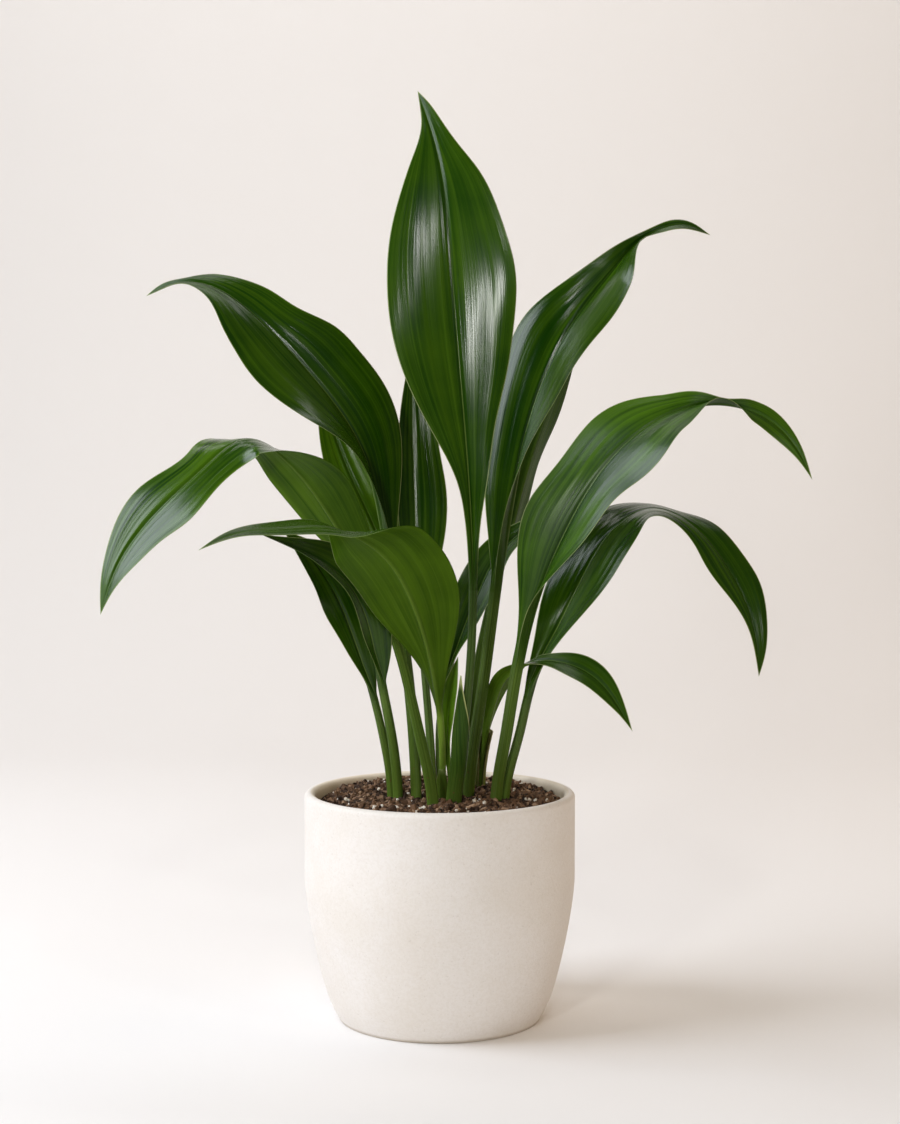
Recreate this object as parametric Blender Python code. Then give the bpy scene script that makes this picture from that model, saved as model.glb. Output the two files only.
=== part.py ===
"""A potted cast iron plant: a plain ceramic pot, potting mix, a rhizome and the leaves that rise from it.

Metres, +Z up. The origin is the centre of the pot's flat base. The front of the plant faces -Y.
Every leaf is one solid, its stalk and its blade together, because it grew as one piece.
The tables below are in millimetres and degrees.
"""
from math import cos, pi, sin

import bmesh
import bpy
import numpy as np

MM = 0.001
GAP = 0.3                    # clearance between pieces that touch

# Pot
POT_RADIUS = 100.0
POT_HEIGHT = 168.6
POT_WALL = 8.0
POT_FLOOR = 12.0
SHOULDER_HEIGHT = 105.0      # the wall is upright above this height and draws in below it
DRAW_IN = 21.0               # how far the wall draws in between the shoulder and the foot
DRAW_POWER = 1.42
FOOT_DRAW_IN = 5.0           # the further draw just above the table
FOOT_POWER = 9
EDGE_ROUND = 1.5             # rounding of the edge at the base
POT_SEGMENTS = 40
MERGE = 0.001                # points nearer than this are one point
OUTER_HEIGHTS = (8, 18, 32, 50, 70, 88, 105)
INNER_HEIGHTS = (22, 38, 60, 82, 105)
LIP_STEPS = 6
CORNER_STEPS = 4             # of the round inside corner at the floor

# Potting mix
SOIL_EDGE = 156.5
SOIL_CROWN = 161.0
SOIL_RINGS = (72, 48, 22)

# Rhizome and roots
RHIZOME_RADIUS = 8.0
RHIZOME_HEIGHT = 118.0
RHIZOME_SIDES = 8
RHIZOME_PAST = 11.0          # how far a stem runs past the foot of its last leaf
RHIZOME_STATIONS = 2         # stations for every leaf that stands on a stem
ROOT_RADIUS = 2.2
ROOT_SIDES = 5
ROOT_STATIONS = 5
ROOT_START = 3.0             # depth at which a root leaves the rhizome, below its middle
ROOT_SHARES = (0, 0.3, 0.6, 1)
RHIZOME_ROOM = 0.45          # clearance between the rhizome and the mix
BLUNT_END = 0.55             # size of a stem at its very end, as a share of its full size
BLUNT_RISE = 8.0             # how fast it grows to full size, per whole length
RHIZOME_TOP = RHIZOME_HEIGHT + RHIZOME_RADIUS
FOOT_HEIGHT = RHIZOME_TOP + GAP

# Leaves
LEAF_STATIONS = 22
LEAF_TAUS = (-1.0, -0.5, 0.0, 0.5, 1.0)      # places across the upper face, from left margin to right
BLADE_THICKNESS = 0.8
FULL_THICKNESS = 4.0         # half width at which the blade has its whole thickness
KEEL_DEPTH = 2.4
STALK_DEPTH = 0.8            # depth of the stalk below its channel, as a share of its half width
STALK_FADE = 0.16            # share of the blade over which the stalk's roundness fades out
THINNEST = 0.02              # least half width anywhere
CURVE_POINTS = 600           # points on a curve when its length is measured
HOLE_DEPTH = 4.0             # how far the holes for the stalks reach into the room of the rhizome
HOLE_TOP = 170.0             # the holes for the stalks end above the mix, at this height

# Sheaths
SHEATH_THICKNESS = 0.7
SHEATH_STATIONS = 10
SHEATH_STEPS = 9
SHEATH_HOLE_DEPTH = 5.0      # how far below a sheath its hole reaches
SHEATH_LIFT = 0.012          # share of a leaf's length between the rhizome and its sheath

# Finishes: linear red, green and blue, then the roughness
STONEWARE = (0.82, 0.78, 0.72, 0.55)
ROOT_SKIN = (0.42, 0.33, 0.20, 0.7)
BARK_MIX = (0.045, 0.025, 0.015, 0.95)
LEAF_GREEN = (0.035, 0.11, 0.015, 0.35)
YOUNG_GREEN = (0.13, 0.28, 0.02, 0.35)
SHEATH_SKIN = (0.13, 0.15, 0.04, 0.5)


class Leaf:
    """How one leaf grows: its midrib's path, its outline and the way that its upper face turns."""

    def __init__(self, path, blade, stalk, outline, faces, fold, curl=((0, 0),)):
        self.path = path          # points on the midrib from the rhizome to the tip
        self.blade = blade        # share of the length at which the blade begins
        self.stalk = stalk        # half the width of the stalk
        self.outline = outline    # (share of the blade, width left of the midrib, width right of it)
        self.faces = faces        # (share of the length, direction that the upper face looks in)
        self.fold = fold          # (share, how far each half rises from flat beside the midrib)
        self.curl = curl          # (share, how far each half bends on the way to its margin)


LEAVES = {
    "leaf_tall_centre": Leaf(
        path=[(9, -8, FOOT_HEIGHT), (10, -10, 163), (17, -20, 210), (23, -26, 272), (24, -30, 340),
              (19, -34, 427), (10, -30, 535), (-3, -14, 640), (-16, 0, 681)],
        blade=0.36, stalk=4.1,
        outline=[(0.12, 5.5, 8.5), (0.2, 9.5, 14.5), (0.3, 24, 22), (0.4, 38.5, 33.5), (0.5, 46.5, 42),
                 (0.6, 47.5, 46), (0.7, 42.5, 39.5), (0.8, 29.5, 28), (0.86, 18.5, 17), (0.92, 6.5, 9.5),
                 (0.97, 2, 4.5)],
        faces=[(0, (-0.6, -0.8, 0)), (0.4, (0, -1, 0)), (0.7, (-0.05, -1, 0.1)), (1, (-0.3, -1, 0.3))],
        fold=[(0, 30), (0.38, 50), (0.55, 18), (0.8, 14), (1, 10)],
        curl=[(0, 0), (0.5, -20), (1, -10)]),
    "leaf_upper_right": Leaf(
        path=[(21, 20, FOOT_HEIGHT), (22.5, 18, 165), (32.5, 14, 240), (44.5, 14, 330), (53, 18, 381),
              (66, 24, 441), (97, 34, 512), (131, 44, 557), (156, 50, 582), (185, 55, 591), (205, 58, 583)],
        blade=0.36, stalk=4.4,
        outline=[(0.1, 13, 12), (0.2, 22.5, 21.5), (0.3, 27, 28), (0.4, 32, 31.5), (0.48, 37.5, 29),
                 (0.56, 37, 29), (0.64, 26, 31), (0.72, 16.5, 28), (0.8, 8.5, 19), (0.86, 3.5, 9),
                 (0.92, 4.5, 8)],
        faces=[(0, (-0.9, -0.4, 0)), (0.36, (-0.9, -0.42, 0)), (0.53, (-0.82, -0.57, 0.1)),
               (0.64, (-0.65, -0.75, 0.2)), (0.75, (-0.45, -0.85, 0.3)), (0.88, (-0.2, -0.8, 0.6)),
               (1, (0, -0.7, 0.8))],
        fold=[(0, 30), (0.36, 60), (0.53, 38), (0.7, 20), (0.82, 30), (0.885, 60), (0.93, 22), (1, 12)],
        curl=[(0, 0), (0.5, -15)]),
    "leaf_behind_right": Leaf(
        path=[(18, 40, FOOT_HEIGHT), (19, 40, 168), (24.5, 42, 220), (33, 48, 272), (49, 61, 338),
              (65, 78, 400), (87, 94, 463), (116, 110, 532)],
        blade=0.42, stalk=4.0,
        outline=[(0.15, 15, 12), (0.3, 28, 23), (0.45, 30, 27), (0.6, 29, 27), (0.75, 21, 22),
                 (0.88, 10, 12)],
        faces=[(0, (-0.9, 0.4, 0)), (0.4, (-0.8, 0.6, 0)), (1, (-0.5, 0.8, 0.3))],
        fold=[(0, 30), (0.42, 55), (0.6, 30), (1, 20)]),
    "leaf_mid_right": Leaf(
        path=[(43, 5, FOOT_HEIGHT), (43, 3, 165), (49, -6, 205), (59, -18, 268), (73, -27, 320),
              (91, -33, 363), (122, -37, 413), (160, -36, 444), (205, -31, 453), (238, -33, 441),
              (258, -38, 418), (266, -44, 399)],
        blade=0.30, stalk=4.4,
        outline=[(0.1, 11, 13), (0.2, 25.5, 26), (0.3, 34.5, 32), (0.4, 31, 29.5), (0.5, 34.5, 36),
                 (0.56, 31, 36), (0.63, 19, 27), (0.7, 9, 21), (0.745, 4.5, 12), (0.8, 9, 11.5),
                 (0.87, 7.5, 11), (0.94, 3, 5)],
        faces=[(0, (-0.8, -0.3, 0.2)), (0.3, (-0.85, -0.35, 0.3)), (0.45, (-0.65, -0.7, 0.4)),
               (0.62, (-0.35, -0.76, 0.55)), (0.74, (-0.2, -0.62, 0.78)), (0.83, (0, -0.8, 0.8)),
               (1, (0.2, -0.9, 0.3))],
        fold=[(0, 30), (0.3, 62), (0.42, 45), (0.56, 24), (0.64, 13), (0.74, 18), (0.82, 66), (0.87, 18),
              (1, 10)],
        curl=[(0, 0), (0.5, -15)]),
    "leaf_low_right": Leaf(
        path=[(49.5, 13, FOOT_HEIGHT), (49.5, 11, 165), (60, 6, 210), (70, 4, 251), (81, 4, 277),
              (104, 6, 324), (128, 6, 362), (155, 4, 377.5), (184, -4, 367), (212, -22, 331),
              (227, -36, 291), (229, -44, 258)],
        blade=0.26, stalk=4.2,
        outline=[(0.12, 12, 13.5), (0.25, 23.5, 29), (0.35, 26.5, 32), (0.44, 31, 33), (0.5, 27, 33),
                 (0.57, 20, 20), (0.64, 18, 15.5), (0.72, 16.5, 20), (0.8, 17.5, 16), (0.88, 12.5, 8),
                 (0.95, 6.5, 3)],
        faces=[(0, (-0.6, -0.6, 0.2)), (0.26, (-0.6, -0.8, 0.2)), (0.42, (-0.5, -0.75, 0.5)),
               (0.55, (-0.3, -0.55, 0.85)), (0.665, (0.1, -0.14, 1)), (0.75, (0.4, -0.65, 0.7)),
               (0.85, (0.5, -0.85, 0.3)), (1, (0.6, -0.9, 0.1))],
        fold=[(0, 30), (0.28, 50), (0.42, 28), (0.55, 10), (0.665, 4), (0.8, 15), (1, 15)],
        curl=[(0, 0), (0.5, -15)]),
    "leaf_small_right": Leaf(
        path=[(30.5, 47, FOOT_HEIGHT), (30.5, 44, 165), (34, 36.5, 200), (40.5, 25, 230), (51, 6, 254.5),
              (68, -9, 265.5), (88, -21, 266.5), (110, -34, 258), (127, -50, 239), (137, -62, 221)],
        blade=0.28, stalk=2.6,
        outline=[(0.1, 5, 5.5), (0.22, 9, 8), (0.34, 10, 8.5), (0.45, 7.5, 8), (0.54, 7, 9.5),
                 (0.64, 10.5, 14), (0.76, 10, 12.5), (0.86, 6, 7.5), (0.93, 3, 3)],
        faces=[(0, (-0.7, 0.2, 0.2)), (0.28, (-0.3, 0.9, 0.3)), (0.45, (-0.2, 0.75, 0.6)),
               (0.56, (0, 0.1, 1)), (0.64, (0, -0.5, 0.9)), (0.76, (0.1, -0.7, 0.7)),
               (1, (0.3, -0.9, 0.4))],
        fold=[(0, 30), (0.28, 40), (0.45, 25), (0.58, 12), (0.7, 20), (1, 12)],
        curl=[(0, 0), (0.5, -10)]),
    "leaf_upper_left": Leaf(
        path=[(-18, 5, FOOT_HEIGHT), (-18.5, 6, 165), (-22, 10, 225), (-32, 16, 305), (-43, 18, 368),
              (-59, 18, 424), (-97, 22, 478), (-140, 28, 523), (-176, 36, 545), (-203, 42, 545),
              (-221, 44, 536)],
        blade=0.40, stalk=4.0,
        outline=[(0.1, 12, 11.5), (0.2, 23, 23), (0.3, 32, 36), (0.38, 38, 41), (0.48, 42.5, 41.5),
                 (0.56, 44, 39), (0.64, 39, 28), (0.72, 31.5, 24), (0.79, 20.5, 19), (0.85, 11.5, 12.5),
                 (0.905, 4, 4.5), (0.95, 3.5, 4)],
        faces=[(0, (0.9, -0.4, 0)), (0.4, (0.9, -0.42, 0)), (0.55, (0.8, -0.6, 0.1)),
               (0.65, (0.6, -0.78, 0.2)), (0.76, (0.4, -0.85, 0.3)), (0.9, (0.1, -0.6, 0.8)),
               (1, (0, -0.6, 0.8))],
        fold=[(0, 30), (0.4, 60), (0.55, 38), (0.7, 20), (1, 12)],
        curl=[(0, 0), (0.5, -15)]),
    "leaf_mid_left": Leaf(
        path=[(-6, -18, FOOT_HEIGHT), (-6, -20, 165), (-14.5, -27, 210), (-28, -32, 268), (-46, -35, 317),
              (-75, -35, 368), (-108, -35, 412.5), (-135, -39, 429), (-165, -54, 410), (-200, -69, 375),
              (-225, -81, 338), (-235, -88, 306)],
        blade=0.34, stalk=4.6,
        outline=[(0.12, 13.5, 13), (0.22, 22, 21), (0.32, 33, 25), (0.4, 40, 27), (0.47, 37, 28),
                 (0.54, 28, 30), (0.6, 23.5, 22.5), (0.66, 25.5, 22), (0.73, 28.5, 26), (0.8, 22.5, 23),
                 (0.88, 16, 14), (0.95, 5.5, 6.5)],
        faces=[(0, (0.7, 0.3, 0.2)), (0.34, (0.3, 0.95, 0.2)), (0.5, (0.2, 0.9, 0.5)),
               (0.6, (0.1, 0.5, 0.9)), (0.66, (0, 0, 1)), (0.74, (-0.1, -0.7, 0.75)),
               (1, (-0.6, -0.8, 0.3))],
        fold=[(0, 30), (0.34, 50), (0.5, 15), (0.63, -15), (0.74, 4), (1, 12)],
        curl=[(0, 0), (0.5, -10)]),
    "leaf_front": Leaf(
        path=[(1, 4, FOOT_HEIGHT), (1.5, 2, 163), (1, -18, 215), (-7.5, -46, 275), (-22, -80, 322),
              (-46, -112, 356), (-74, -128, 368), (-104, -142, 368), (-134, -157, 365),
              (-157, -170, 354.5)],
        blade=0.28, stalk=3.1,
        outline=[(0.1, 11, 10.5), (0.2, 22, 21.5), (0.3, 32, 31), (0.42, 37.5, 34.5), (0.5, 40.5, 36),
                 (0.57, 42, 35), (0.64, 31, 30), (0.74, 17.5, 19), (0.84, 12, 11.5), (0.92, 5, 5.5)],
        faces=[(0, (0.3, 0.8, 0.2)), (0.28, (0.2, 1, 0.3)), (0.56, (0.1, 1, 0.5)), (0.66, (0, 0.7, 1)),
               (0.76, (0, -0.22, 1)), (1, (0, -0.4, 0.9))],
        fold=[(0, 30), (0.28, 40), (0.45, 14), (0.7, 4), (1, 8)],
        curl=[(0, 0), (0.5, -10)]),
    "leaf_low_behind": Leaf(
        path=[(3, 33, FOOT_HEIGHT), (1, 33, 165), (0, 33, 212), (5, 35, 245), (14, 38, 275), (30, 45, 315),
              (48, 50, 346), (66, 52, 362), (79, 53, 378)],
        blade=0.44, stalk=3.0,
        outline=[(0.15, 9, 9), (0.35, 17, 17), (0.6, 16, 16), (0.8, 10, 10)],
        faces=[(0, (-0.6, -0.6, 0)), (0.45, (-0.5, -0.8, 0.3)), (1, (-0.4, -0.8, 0.5))],
        fold=[(0, 30), (0.45, 50), (0.6, 25), (1, 15)]),
    "leaf_behind_left": Leaf(
        path=[(-18, 29, FOOT_HEIGHT), (-18, 31, 168), (-21, 41, 225), (-31, 57, 300), (-49, 73, 358),
              (-71, 84, 405), (-86, 91, 445), (-96, 97, 478)],
        blade=0.42, stalk=3.8,
        outline=[(0.15, 8, 12), (0.35, 16, 24), (0.55, 18.5, 27), (0.75, 14, 20), (0.88, 7, 10)],
        faces=[(0, (0.8, -0.5, 0)), (0.45, (0.15, -0.95, 0.1)), (1, (0.05, -0.95, 0.3))],
        fold=[(0, 30), (0.42, 50), (0.6, 8), (1, 6)]),
    "leaf_behind_centre": Leaf(
        path=[(-7, 29, FOOT_HEIGHT), (-6.5, 29, 166), (-11, 33, 240), (-17, 42, 315), (-19, 50, 375),
              (-21, 56, 440), (-21, 62, 505)],
        blade=0.40, stalk=4.0,
        outline=[(0.12, 7, 9.5), (0.3, 12, 20.5), (0.5, 14, 24.3), (0.62, 12.5, 20.5), (0.75, 9.5, 16),
                 (0.88, 5, 7.5)],
        faces=[(0, (0.5, -0.8, 0)), (0.4, (0.25, -0.95, 0)), (1, (0.15, -0.95, 0.2))],
        fold=[(0, 30), (0.42, 50), (0.55, 8), (1, 8)]),
    "leaf_dark_left": Leaf(
        path=[(-32, 8, FOOT_HEIGHT), (-32, 6, 165), (-36, -10, 210), (-43, -30, 254), (-50, -48, 294),
              (-66, -74, 330), (-90, -94, 349), (-121, -116, 363)],
        blade=0.44, stalk=3.8,
        outline=[(0.12, 8, 11), (0.3, 10, 19), (0.5, 10, 22), (0.75, 8, 15), (0.9, 4, 6)],
        faces=[(0, (0.9, -0.2, 0.1)), (0.44, (0.6, -0.7, 0.2)), (0.6, (0.35, -0.85, 0.5)),
               (1, (0.1, -0.4, 0.9))],
        fold=[(0, 30), (0.44, 50), (0.6, 15), (1, 8)]),
    "leaf_outer_left": Leaf(
        path=[(-38, 18, FOOT_HEIGHT), (-37, 14, 167), (-42, 4, 205), (-52, -10, 250), (-62, -21, 283),
              (-75, -38, 318), (-91, -52, 344), (-110, -64, 364)],
        blade=0.44, stalk=3.4,
        outline=[(0.12, 6, 8), (0.3, 10.5, 15), (0.45, 14.5, 18), (0.6, 17.5, 18), (0.75, 16, 15),
                 (0.9, 9.5, 7)],
        faces=[(0, (0.9, -0.2, 0.1)), (0.44, (0.55, -0.8, 0.2)), (0.6, (0.3, -0.9, 0.3)),
               (1, (0.2, -0.6, 0.8))],
        fold=[(0, 30), (0.44, 40), (0.6, 12), (1, 8)]),
    "leaf_young": Leaf(
        path=[(10, 7, FOOT_HEIGHT), (9.5, 6, 165), (5.5, 2, 205), (6.5, 0, 230), (10, 1, 252),
              (13.6, 3, 268)],
        blade=0.42, stalk=2.5,
        outline=[(0.2, 6, 6), (0.45, 8.5, 8), (0.65, 7.5, 7.5), (0.85, 3.5, 4)],
        faces=[(0, (-0.4, -0.8, 0)), (1, (-0.3, -0.9, 0))],
        fold=[(0, 40), (0.4, 50), (1, 24)]),
}


class Sheath:
    """A papery scale round the foot of one leaf. Turns run anticlockwise from +X, seen from above."""

    def __init__(self, leaf, top, radius, start, end, lean=((0, (0, 0, 0)),)):
        self.leaf = leaf          # the leaf whose stalk it wraps
        self.top = top            # share of that leaf's length at which it ends
        self.radius = radius      # (share of the sheath, inner radius)
        self.start = start        # (share of the sheath, turn at which the wrap begins)
        self.end = end            # (share of the sheath, turn at which it ends)
        self.lean = lean          # (share of the sheath, how far its middle stands off the stalk's)


SHEATHS = {
    "sheath_tall": Sheath(
        leaf="leaf_tall_centre", top=0.235,
        radius=[(0, 5.0), (0.35, 5.3), (0.7, 6.1), (1, 6.3)],
        start=[(0, 110), (0.5, 120), (0.75, 150), (1, 188)],
        end=[(0, 430), (0.4, 415), (0.65, 350), (0.85, 270), (1, 206)],
        lean=[(0, (0, 0, 0)), (0.4, (0, 0, 0)), (0.7, (-2.2, -0.5, 0)), (1, (-0.5, -0.5, 0))]),
    "sheath_front": Sheath(
        leaf="leaf_front", top=0.155,
        radius=[(0, 3.9), (1, 4.0)],
        start=[(0, 110), (0.6, 150), (1, 240)],
        end=[(0, 430), (0.6, 400), (1, 290)]),
    "sheath_right": Sheath(
        leaf="leaf_small_right", top=0.31,
        radius=[(0, 3.2), (0.6, 3.4), (1, 4.4)],
        start=[(0, -70), (0.6, -60), (1, -20)],
        end=[(0, 250), (0.6, 240), (1, 150)]),
}

# The rhizome's middle line passes under the foot of every leaf in the order given.
RHIZOME_BRANCHES = [
    ["leaf_outer_left", "leaf_dark_left", "leaf_upper_left", "leaf_front", "leaf_tall_centre",
     "leaf_mid_right", "leaf_low_right"],
    ["leaf_front", "leaf_mid_left"],
    ["leaf_dark_left", "leaf_behind_left", "leaf_behind_centre", "leaf_low_behind", "leaf_upper_right",
     "leaf_mid_right"],
    ["leaf_upper_right", "leaf_behind_right", "leaf_small_right"],
    ["leaf_tall_centre", "leaf_young", "leaf_low_behind"],
]
# (leaf under which the root starts, turn in which it heads, how far it reaches, how deep it goes)
ROOTS = [
    ("leaf_outer_left", 185, 32, 62), ("leaf_upper_left", 255, 40, 78), ("leaf_mid_left", 300, 38, 66),
    ("leaf_mid_right", 300, 30, 78), ("leaf_behind_right", 60, 16, 70), ("leaf_behind_centre", 105, 26, 82),
]


def spline(knots, values, at):
    """A smooth curve through every row of values, which sit at the knots, read at the given places."""
    knots = np.array(knots, float)
    values = np.array(values, float)
    count = len(knots)
    step = np.diff(knots)
    slope = np.diff(values, axis=0) / step[:, None]
    matrix = np.eye(count)
    right = np.zeros_like(values)
    for i in range(1, count - 1):
        matrix[i, i - 1:i + 2] = step[i - 1], 2 * (step[i - 1] + step[i]), step[i]
        right[i] = 6 * (slope[i] - slope[i - 1])
    bend = np.linalg.solve(matrix, right)
    i = np.clip(np.searchsorted(knots, at) - 1, 0, count - 2)
    size = step[i][:, None]
    p = (at - knots[i])[:, None] / size
    q = 1 - p
    return (q * values[i] + p * values[i + 1]
            + ((q ** 3 - q) * bend[i] + (p ** 3 - p) * bend[i + 1]) * size ** 2 / 6)


def keyed(keys, at):
    """Values that pass through (place, value) keys and never overshoot between two of them."""
    place = np.array([k for k, _ in keys], float)
    value = np.array([v for _, v in keys], float).reshape(len(keys), -1)
    if len(keys) == 1:
        return np.repeat(value, len(at), axis=0)
    at = np.clip(at, place[0], place[-1])
    step = np.diff(place)[:, None]
    slope = np.diff(value, axis=0) / step
    tangent = np.vstack([slope[:1], np.zeros_like(slope[1:]), slope[-1:]])
    same = slope[:-1] * slope[1:] > 0
    early = 2 * step[1:] + step[:-1]
    late = step[1:] + 2 * step[:-1]
    before = np.where(same, slope[:-1], 1)
    after = np.where(same, slope[1:], 1)
    tangent[1:-1] = np.where(same, (early + late) / (early / before + late / after), 0)
    i = np.clip(np.searchsorted(place, at) - 1, 0, len(keys) - 2)
    t = ((at - place[i]) / step[i, 0])[:, None]
    return (value[i] * (1 + 2 * t) * (1 - t) ** 2 + value[i + 1] * t ** 2 * (3 - 2 * t)
            + step[i] * (tangent[i] * t * (1 - t) ** 2 - tangent[i + 1] * t ** 2 * (1 - t)))


def unit(vectors):
    return vectors / np.linalg.norm(vectors, axis=-1, keepdims=True)


def along(path, at):
    """Points at the given shares of the length of a smooth curve through the path, and the way it runs."""
    path = np.array(path, float)
    chords = np.concatenate([[0], np.cumsum(np.linalg.norm(np.diff(path, axis=0), axis=1))])
    fine = spline(chords, path, np.linspace(0, chords[-1], CURVE_POINTS))
    length = np.concatenate([[0], np.cumsum(np.linalg.norm(np.diff(fine, axis=0), axis=1))])
    runs = unit(np.gradient(fine, length, axis=0))
    points = [np.interp(at * length[-1], length, fine[:, k]) for k in range(3)]
    tangents = [np.interp(at * length[-1], length, runs[:, k]) for k in range(3)]
    return np.stack(points, 1), unit(np.stack(tangents, 1))


def half_widths(leaf, u):
    """Widths left and right of the midrib, and the share of the blade, at shares u of the length."""
    share = np.clip((u - leaf.blade) / (1 - leaf.blade), 0, 1)
    rows = np.array([(0, leaf.stalk, leaf.stalk)] + leaf.outline + [(1, 0, 0)], float)
    widths = np.maximum(spline(rows[:, 0], rows[:, 1:], share), THINNEST)
    return np.where(u[:, None] < leaf.blade, leaf.stalk, widths), share


def leaf_rings(leaf, u):
    """Closed rings round a leaf at shares u of its length.

    The upper face runs from margin to margin: each half leaves the midrib at the fold angle and bends
    by the curl. The under face lies one blade's thickness below it, with a keel under the midrib, and
    along the stalk it is half an ellipse instead. Both meet at the margins.
    """
    centre, run = along(leaf.path, u)
    up = keyed(leaf.faces, u)
    up = unit(up - (up * run).sum(1, keepdims=True) * run)
    across = np.cross(run, up)
    widths, share = half_widths(leaf, u)
    fold = np.radians(keyed(leaf.fold, u))
    curl = np.radians(keyed(leaf.curl, u))
    tau = np.array(LEAF_TAUS)[None, :]
    reach = np.abs(tau)
    chord = reach * np.sinc(curl * reach / (2 * pi))
    width = np.where(tau < 0, widths[:, :1], widths[:, 1:])
    side = np.sign(tau) * chord * np.cos(fold + curl * reach / 2) * width
    rise = chord * np.sin(fold + curl * reach / 2) * width
    edge = np.where(tau < 0, side[:, :1], -side[:, -1:])
    edge_rise = np.where(tau < 0, rise[:, :1], rise[:, -1:])
    turn = tau * pi / 2
    stalk_side = -edge * np.sin(turn)
    stalk_rise = edge_rise * (1 - np.cos(turn)) - STALK_DEPTH * leaf.stalk * np.cos(turn)
    thin = np.minimum(1, widths.min(1, keepdims=True) / FULL_THICKNESS)
    lean = np.sign(tau) * (fold + curl * reach)
    depth = thin * (BLADE_THICKNESS + (KEEL_DEPTH - BLADE_THICKNESS) * (reach == 0))
    blade_side = side + depth * np.sin(lean)
    blade_rise = rise - depth * np.cos(lean)
    roundness = np.clip(1 - share / STALK_FADE, 0, 1)[:, None]
    under_side = blade_side + (stalk_side - blade_side) * roundness
    under_rise = blade_rise + (stalk_rise - blade_rise) * roundness
    ring_side = np.hstack([side, under_side[:, -2:0:-1]])
    ring_rise = np.hstack([rise, under_rise[:, -2:0:-1]])
    return centre, across, up, ring_side, ring_rise


def place_rings(centre, across, up, side, rise):
    return centre[:, None] + side[..., None] * across[:, None] + rise[..., None] * up[:, None]


def grown(side, rise, by):
    """Rings moved outward by a clearance, each corner along its mitre. The rings run clockwise."""
    ring = np.stack([side, rise], -1)
    edge = unit(np.roll(ring, -1, axis=1) - ring)
    out = np.stack([-edge[..., 1], edge[..., 0]], -1)
    before = np.roll(out, 1, axis=1)
    mitre = (before + out) / (1 + (before * out).sum(-1, keepdims=True))
    ring = ring + by * mitre
    return ring[..., 0], ring[..., 1]


def loft(rings, end_point=None):
    """Vertices and faces of a closed body through the rings, with a point or a flat cap at its end."""
    count, sides = rings.shape[:2]
    vertices = rings.reshape(-1, 3).tolist()
    faces = [list(range(sides))]
    for i in range(count - 1):
        for j in range(sides):
            k = (j + 1) % sides
            faces.append([i * sides + j, (i + 1) * sides + j, (i + 1) * sides + k, i * sides + k])
    last = (count - 1) * sides
    if end_point is None:
        faces.append([last + j for j in range(sides)][::-1])
    else:
        vertices.append(list(end_point))
        faces += [[last + j, len(vertices) - 1, last + (j + 1) % sides] for j in range(sides)]
    return vertices, faces


def add_body(name, vertices, faces, material):
    """A closed body from its vertices and faces."""
    work = bmesh.new()
    points = [work.verts.new(point) for point in np.array(vertices) * MM]
    for face in faces:
        work.faces.new([points[i] for i in face])
    return add_mesh(name, work, material)


def add_mesh(name, work, material):
    """An object of its own for a finished shape, in triangles that look outward."""
    bmesh.ops.triangulate(work, faces=work.faces)
    bmesh.ops.recalc_face_normals(work, faces=work.faces)
    if work.calc_volume(signed=True) < 0:
        bmesh.ops.reverse_faces(work, faces=work.faces)
    mesh = bpy.data.meshes.new(name)
    work.to_mesh(mesh)
    work.free()
    mesh.shade_smooth()
    if material is not None:
        mesh.materials.append(material)
    body = bpy.data.objects.new(name, mesh)
    bpy.context.collection.objects.link(body)
    return body


def add_tool(name, vertices, faces):
    """A body that is only added to or cut from another."""
    tool = add_body(name, vertices, faces, None)
    tool.hide_render = True
    tool.display_type = "WIRE"
    return tool


def combine(body, tool, operation):
    step = body.modifiers.new(tool.name, "BOOLEAN")
    step.operation = operation
    step.solver = "EXACT"
    step.object = tool


def paint(node, finish):
    """The material of one node."""
    material = bpy.data.materials.new(node + "_finish")
    material.use_nodes = True
    surface = material.node_tree.nodes["Principled BSDF"]
    surface.inputs["Base Color"].default_value = (*finish[:3], 1)
    surface.inputs["Roughness"].default_value = finish[3]
    return material


def turned(name, profile, material):
    """A profile of (radius, height) points, from the axis round to the axis, spun about it."""
    work = bmesh.new()
    points = [work.verts.new((radius * MM, 0, height * MM)) for radius, height in profile]
    edges = [work.edges.new(pair) for pair in zip(points, points[1:])]
    bmesh.ops.spin(work, geom=points + edges, axis=(0, 0, 1), cent=(0, 0, 0), angle=2 * pi,
                   steps=POT_SEGMENTS, use_merge=True)
    bmesh.ops.remove_doubles(work, verts=work.verts, dist=MERGE * MM)
    return add_mesh(name, work, material)


def wall_radius(height):
    """Outer radius of the pot: upright above the shoulder, drawn in below it."""
    depth = max(0.0, SHOULDER_HEIGHT - height) / SHOULDER_HEIGHT
    return POT_RADIUS - DRAW_IN * depth ** DRAW_POWER - FOOT_DRAW_IN * depth ** FOOT_POWER


def inner_wall(shrink):
    """The inside of the pot from the floor's middle to the start of the lip, moved in by shrink."""
    low = INNER_HEIGHTS[0]
    radius = wall_radius(low) - POT_WALL
    corner = low - POT_FLOOR
    points = [(0, POT_FLOOR + shrink)]
    for k in range(CORNER_STEPS):
        angle = pi / 2 * k / CORNER_STEPS
        points.append((radius - corner + (corner - shrink) * sin(angle),
                       low - (corner - shrink) * cos(angle)))
    points += [(wall_radius(height) - POT_WALL - shrink, height) for height in INNER_HEIGHTS]
    return points


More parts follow.
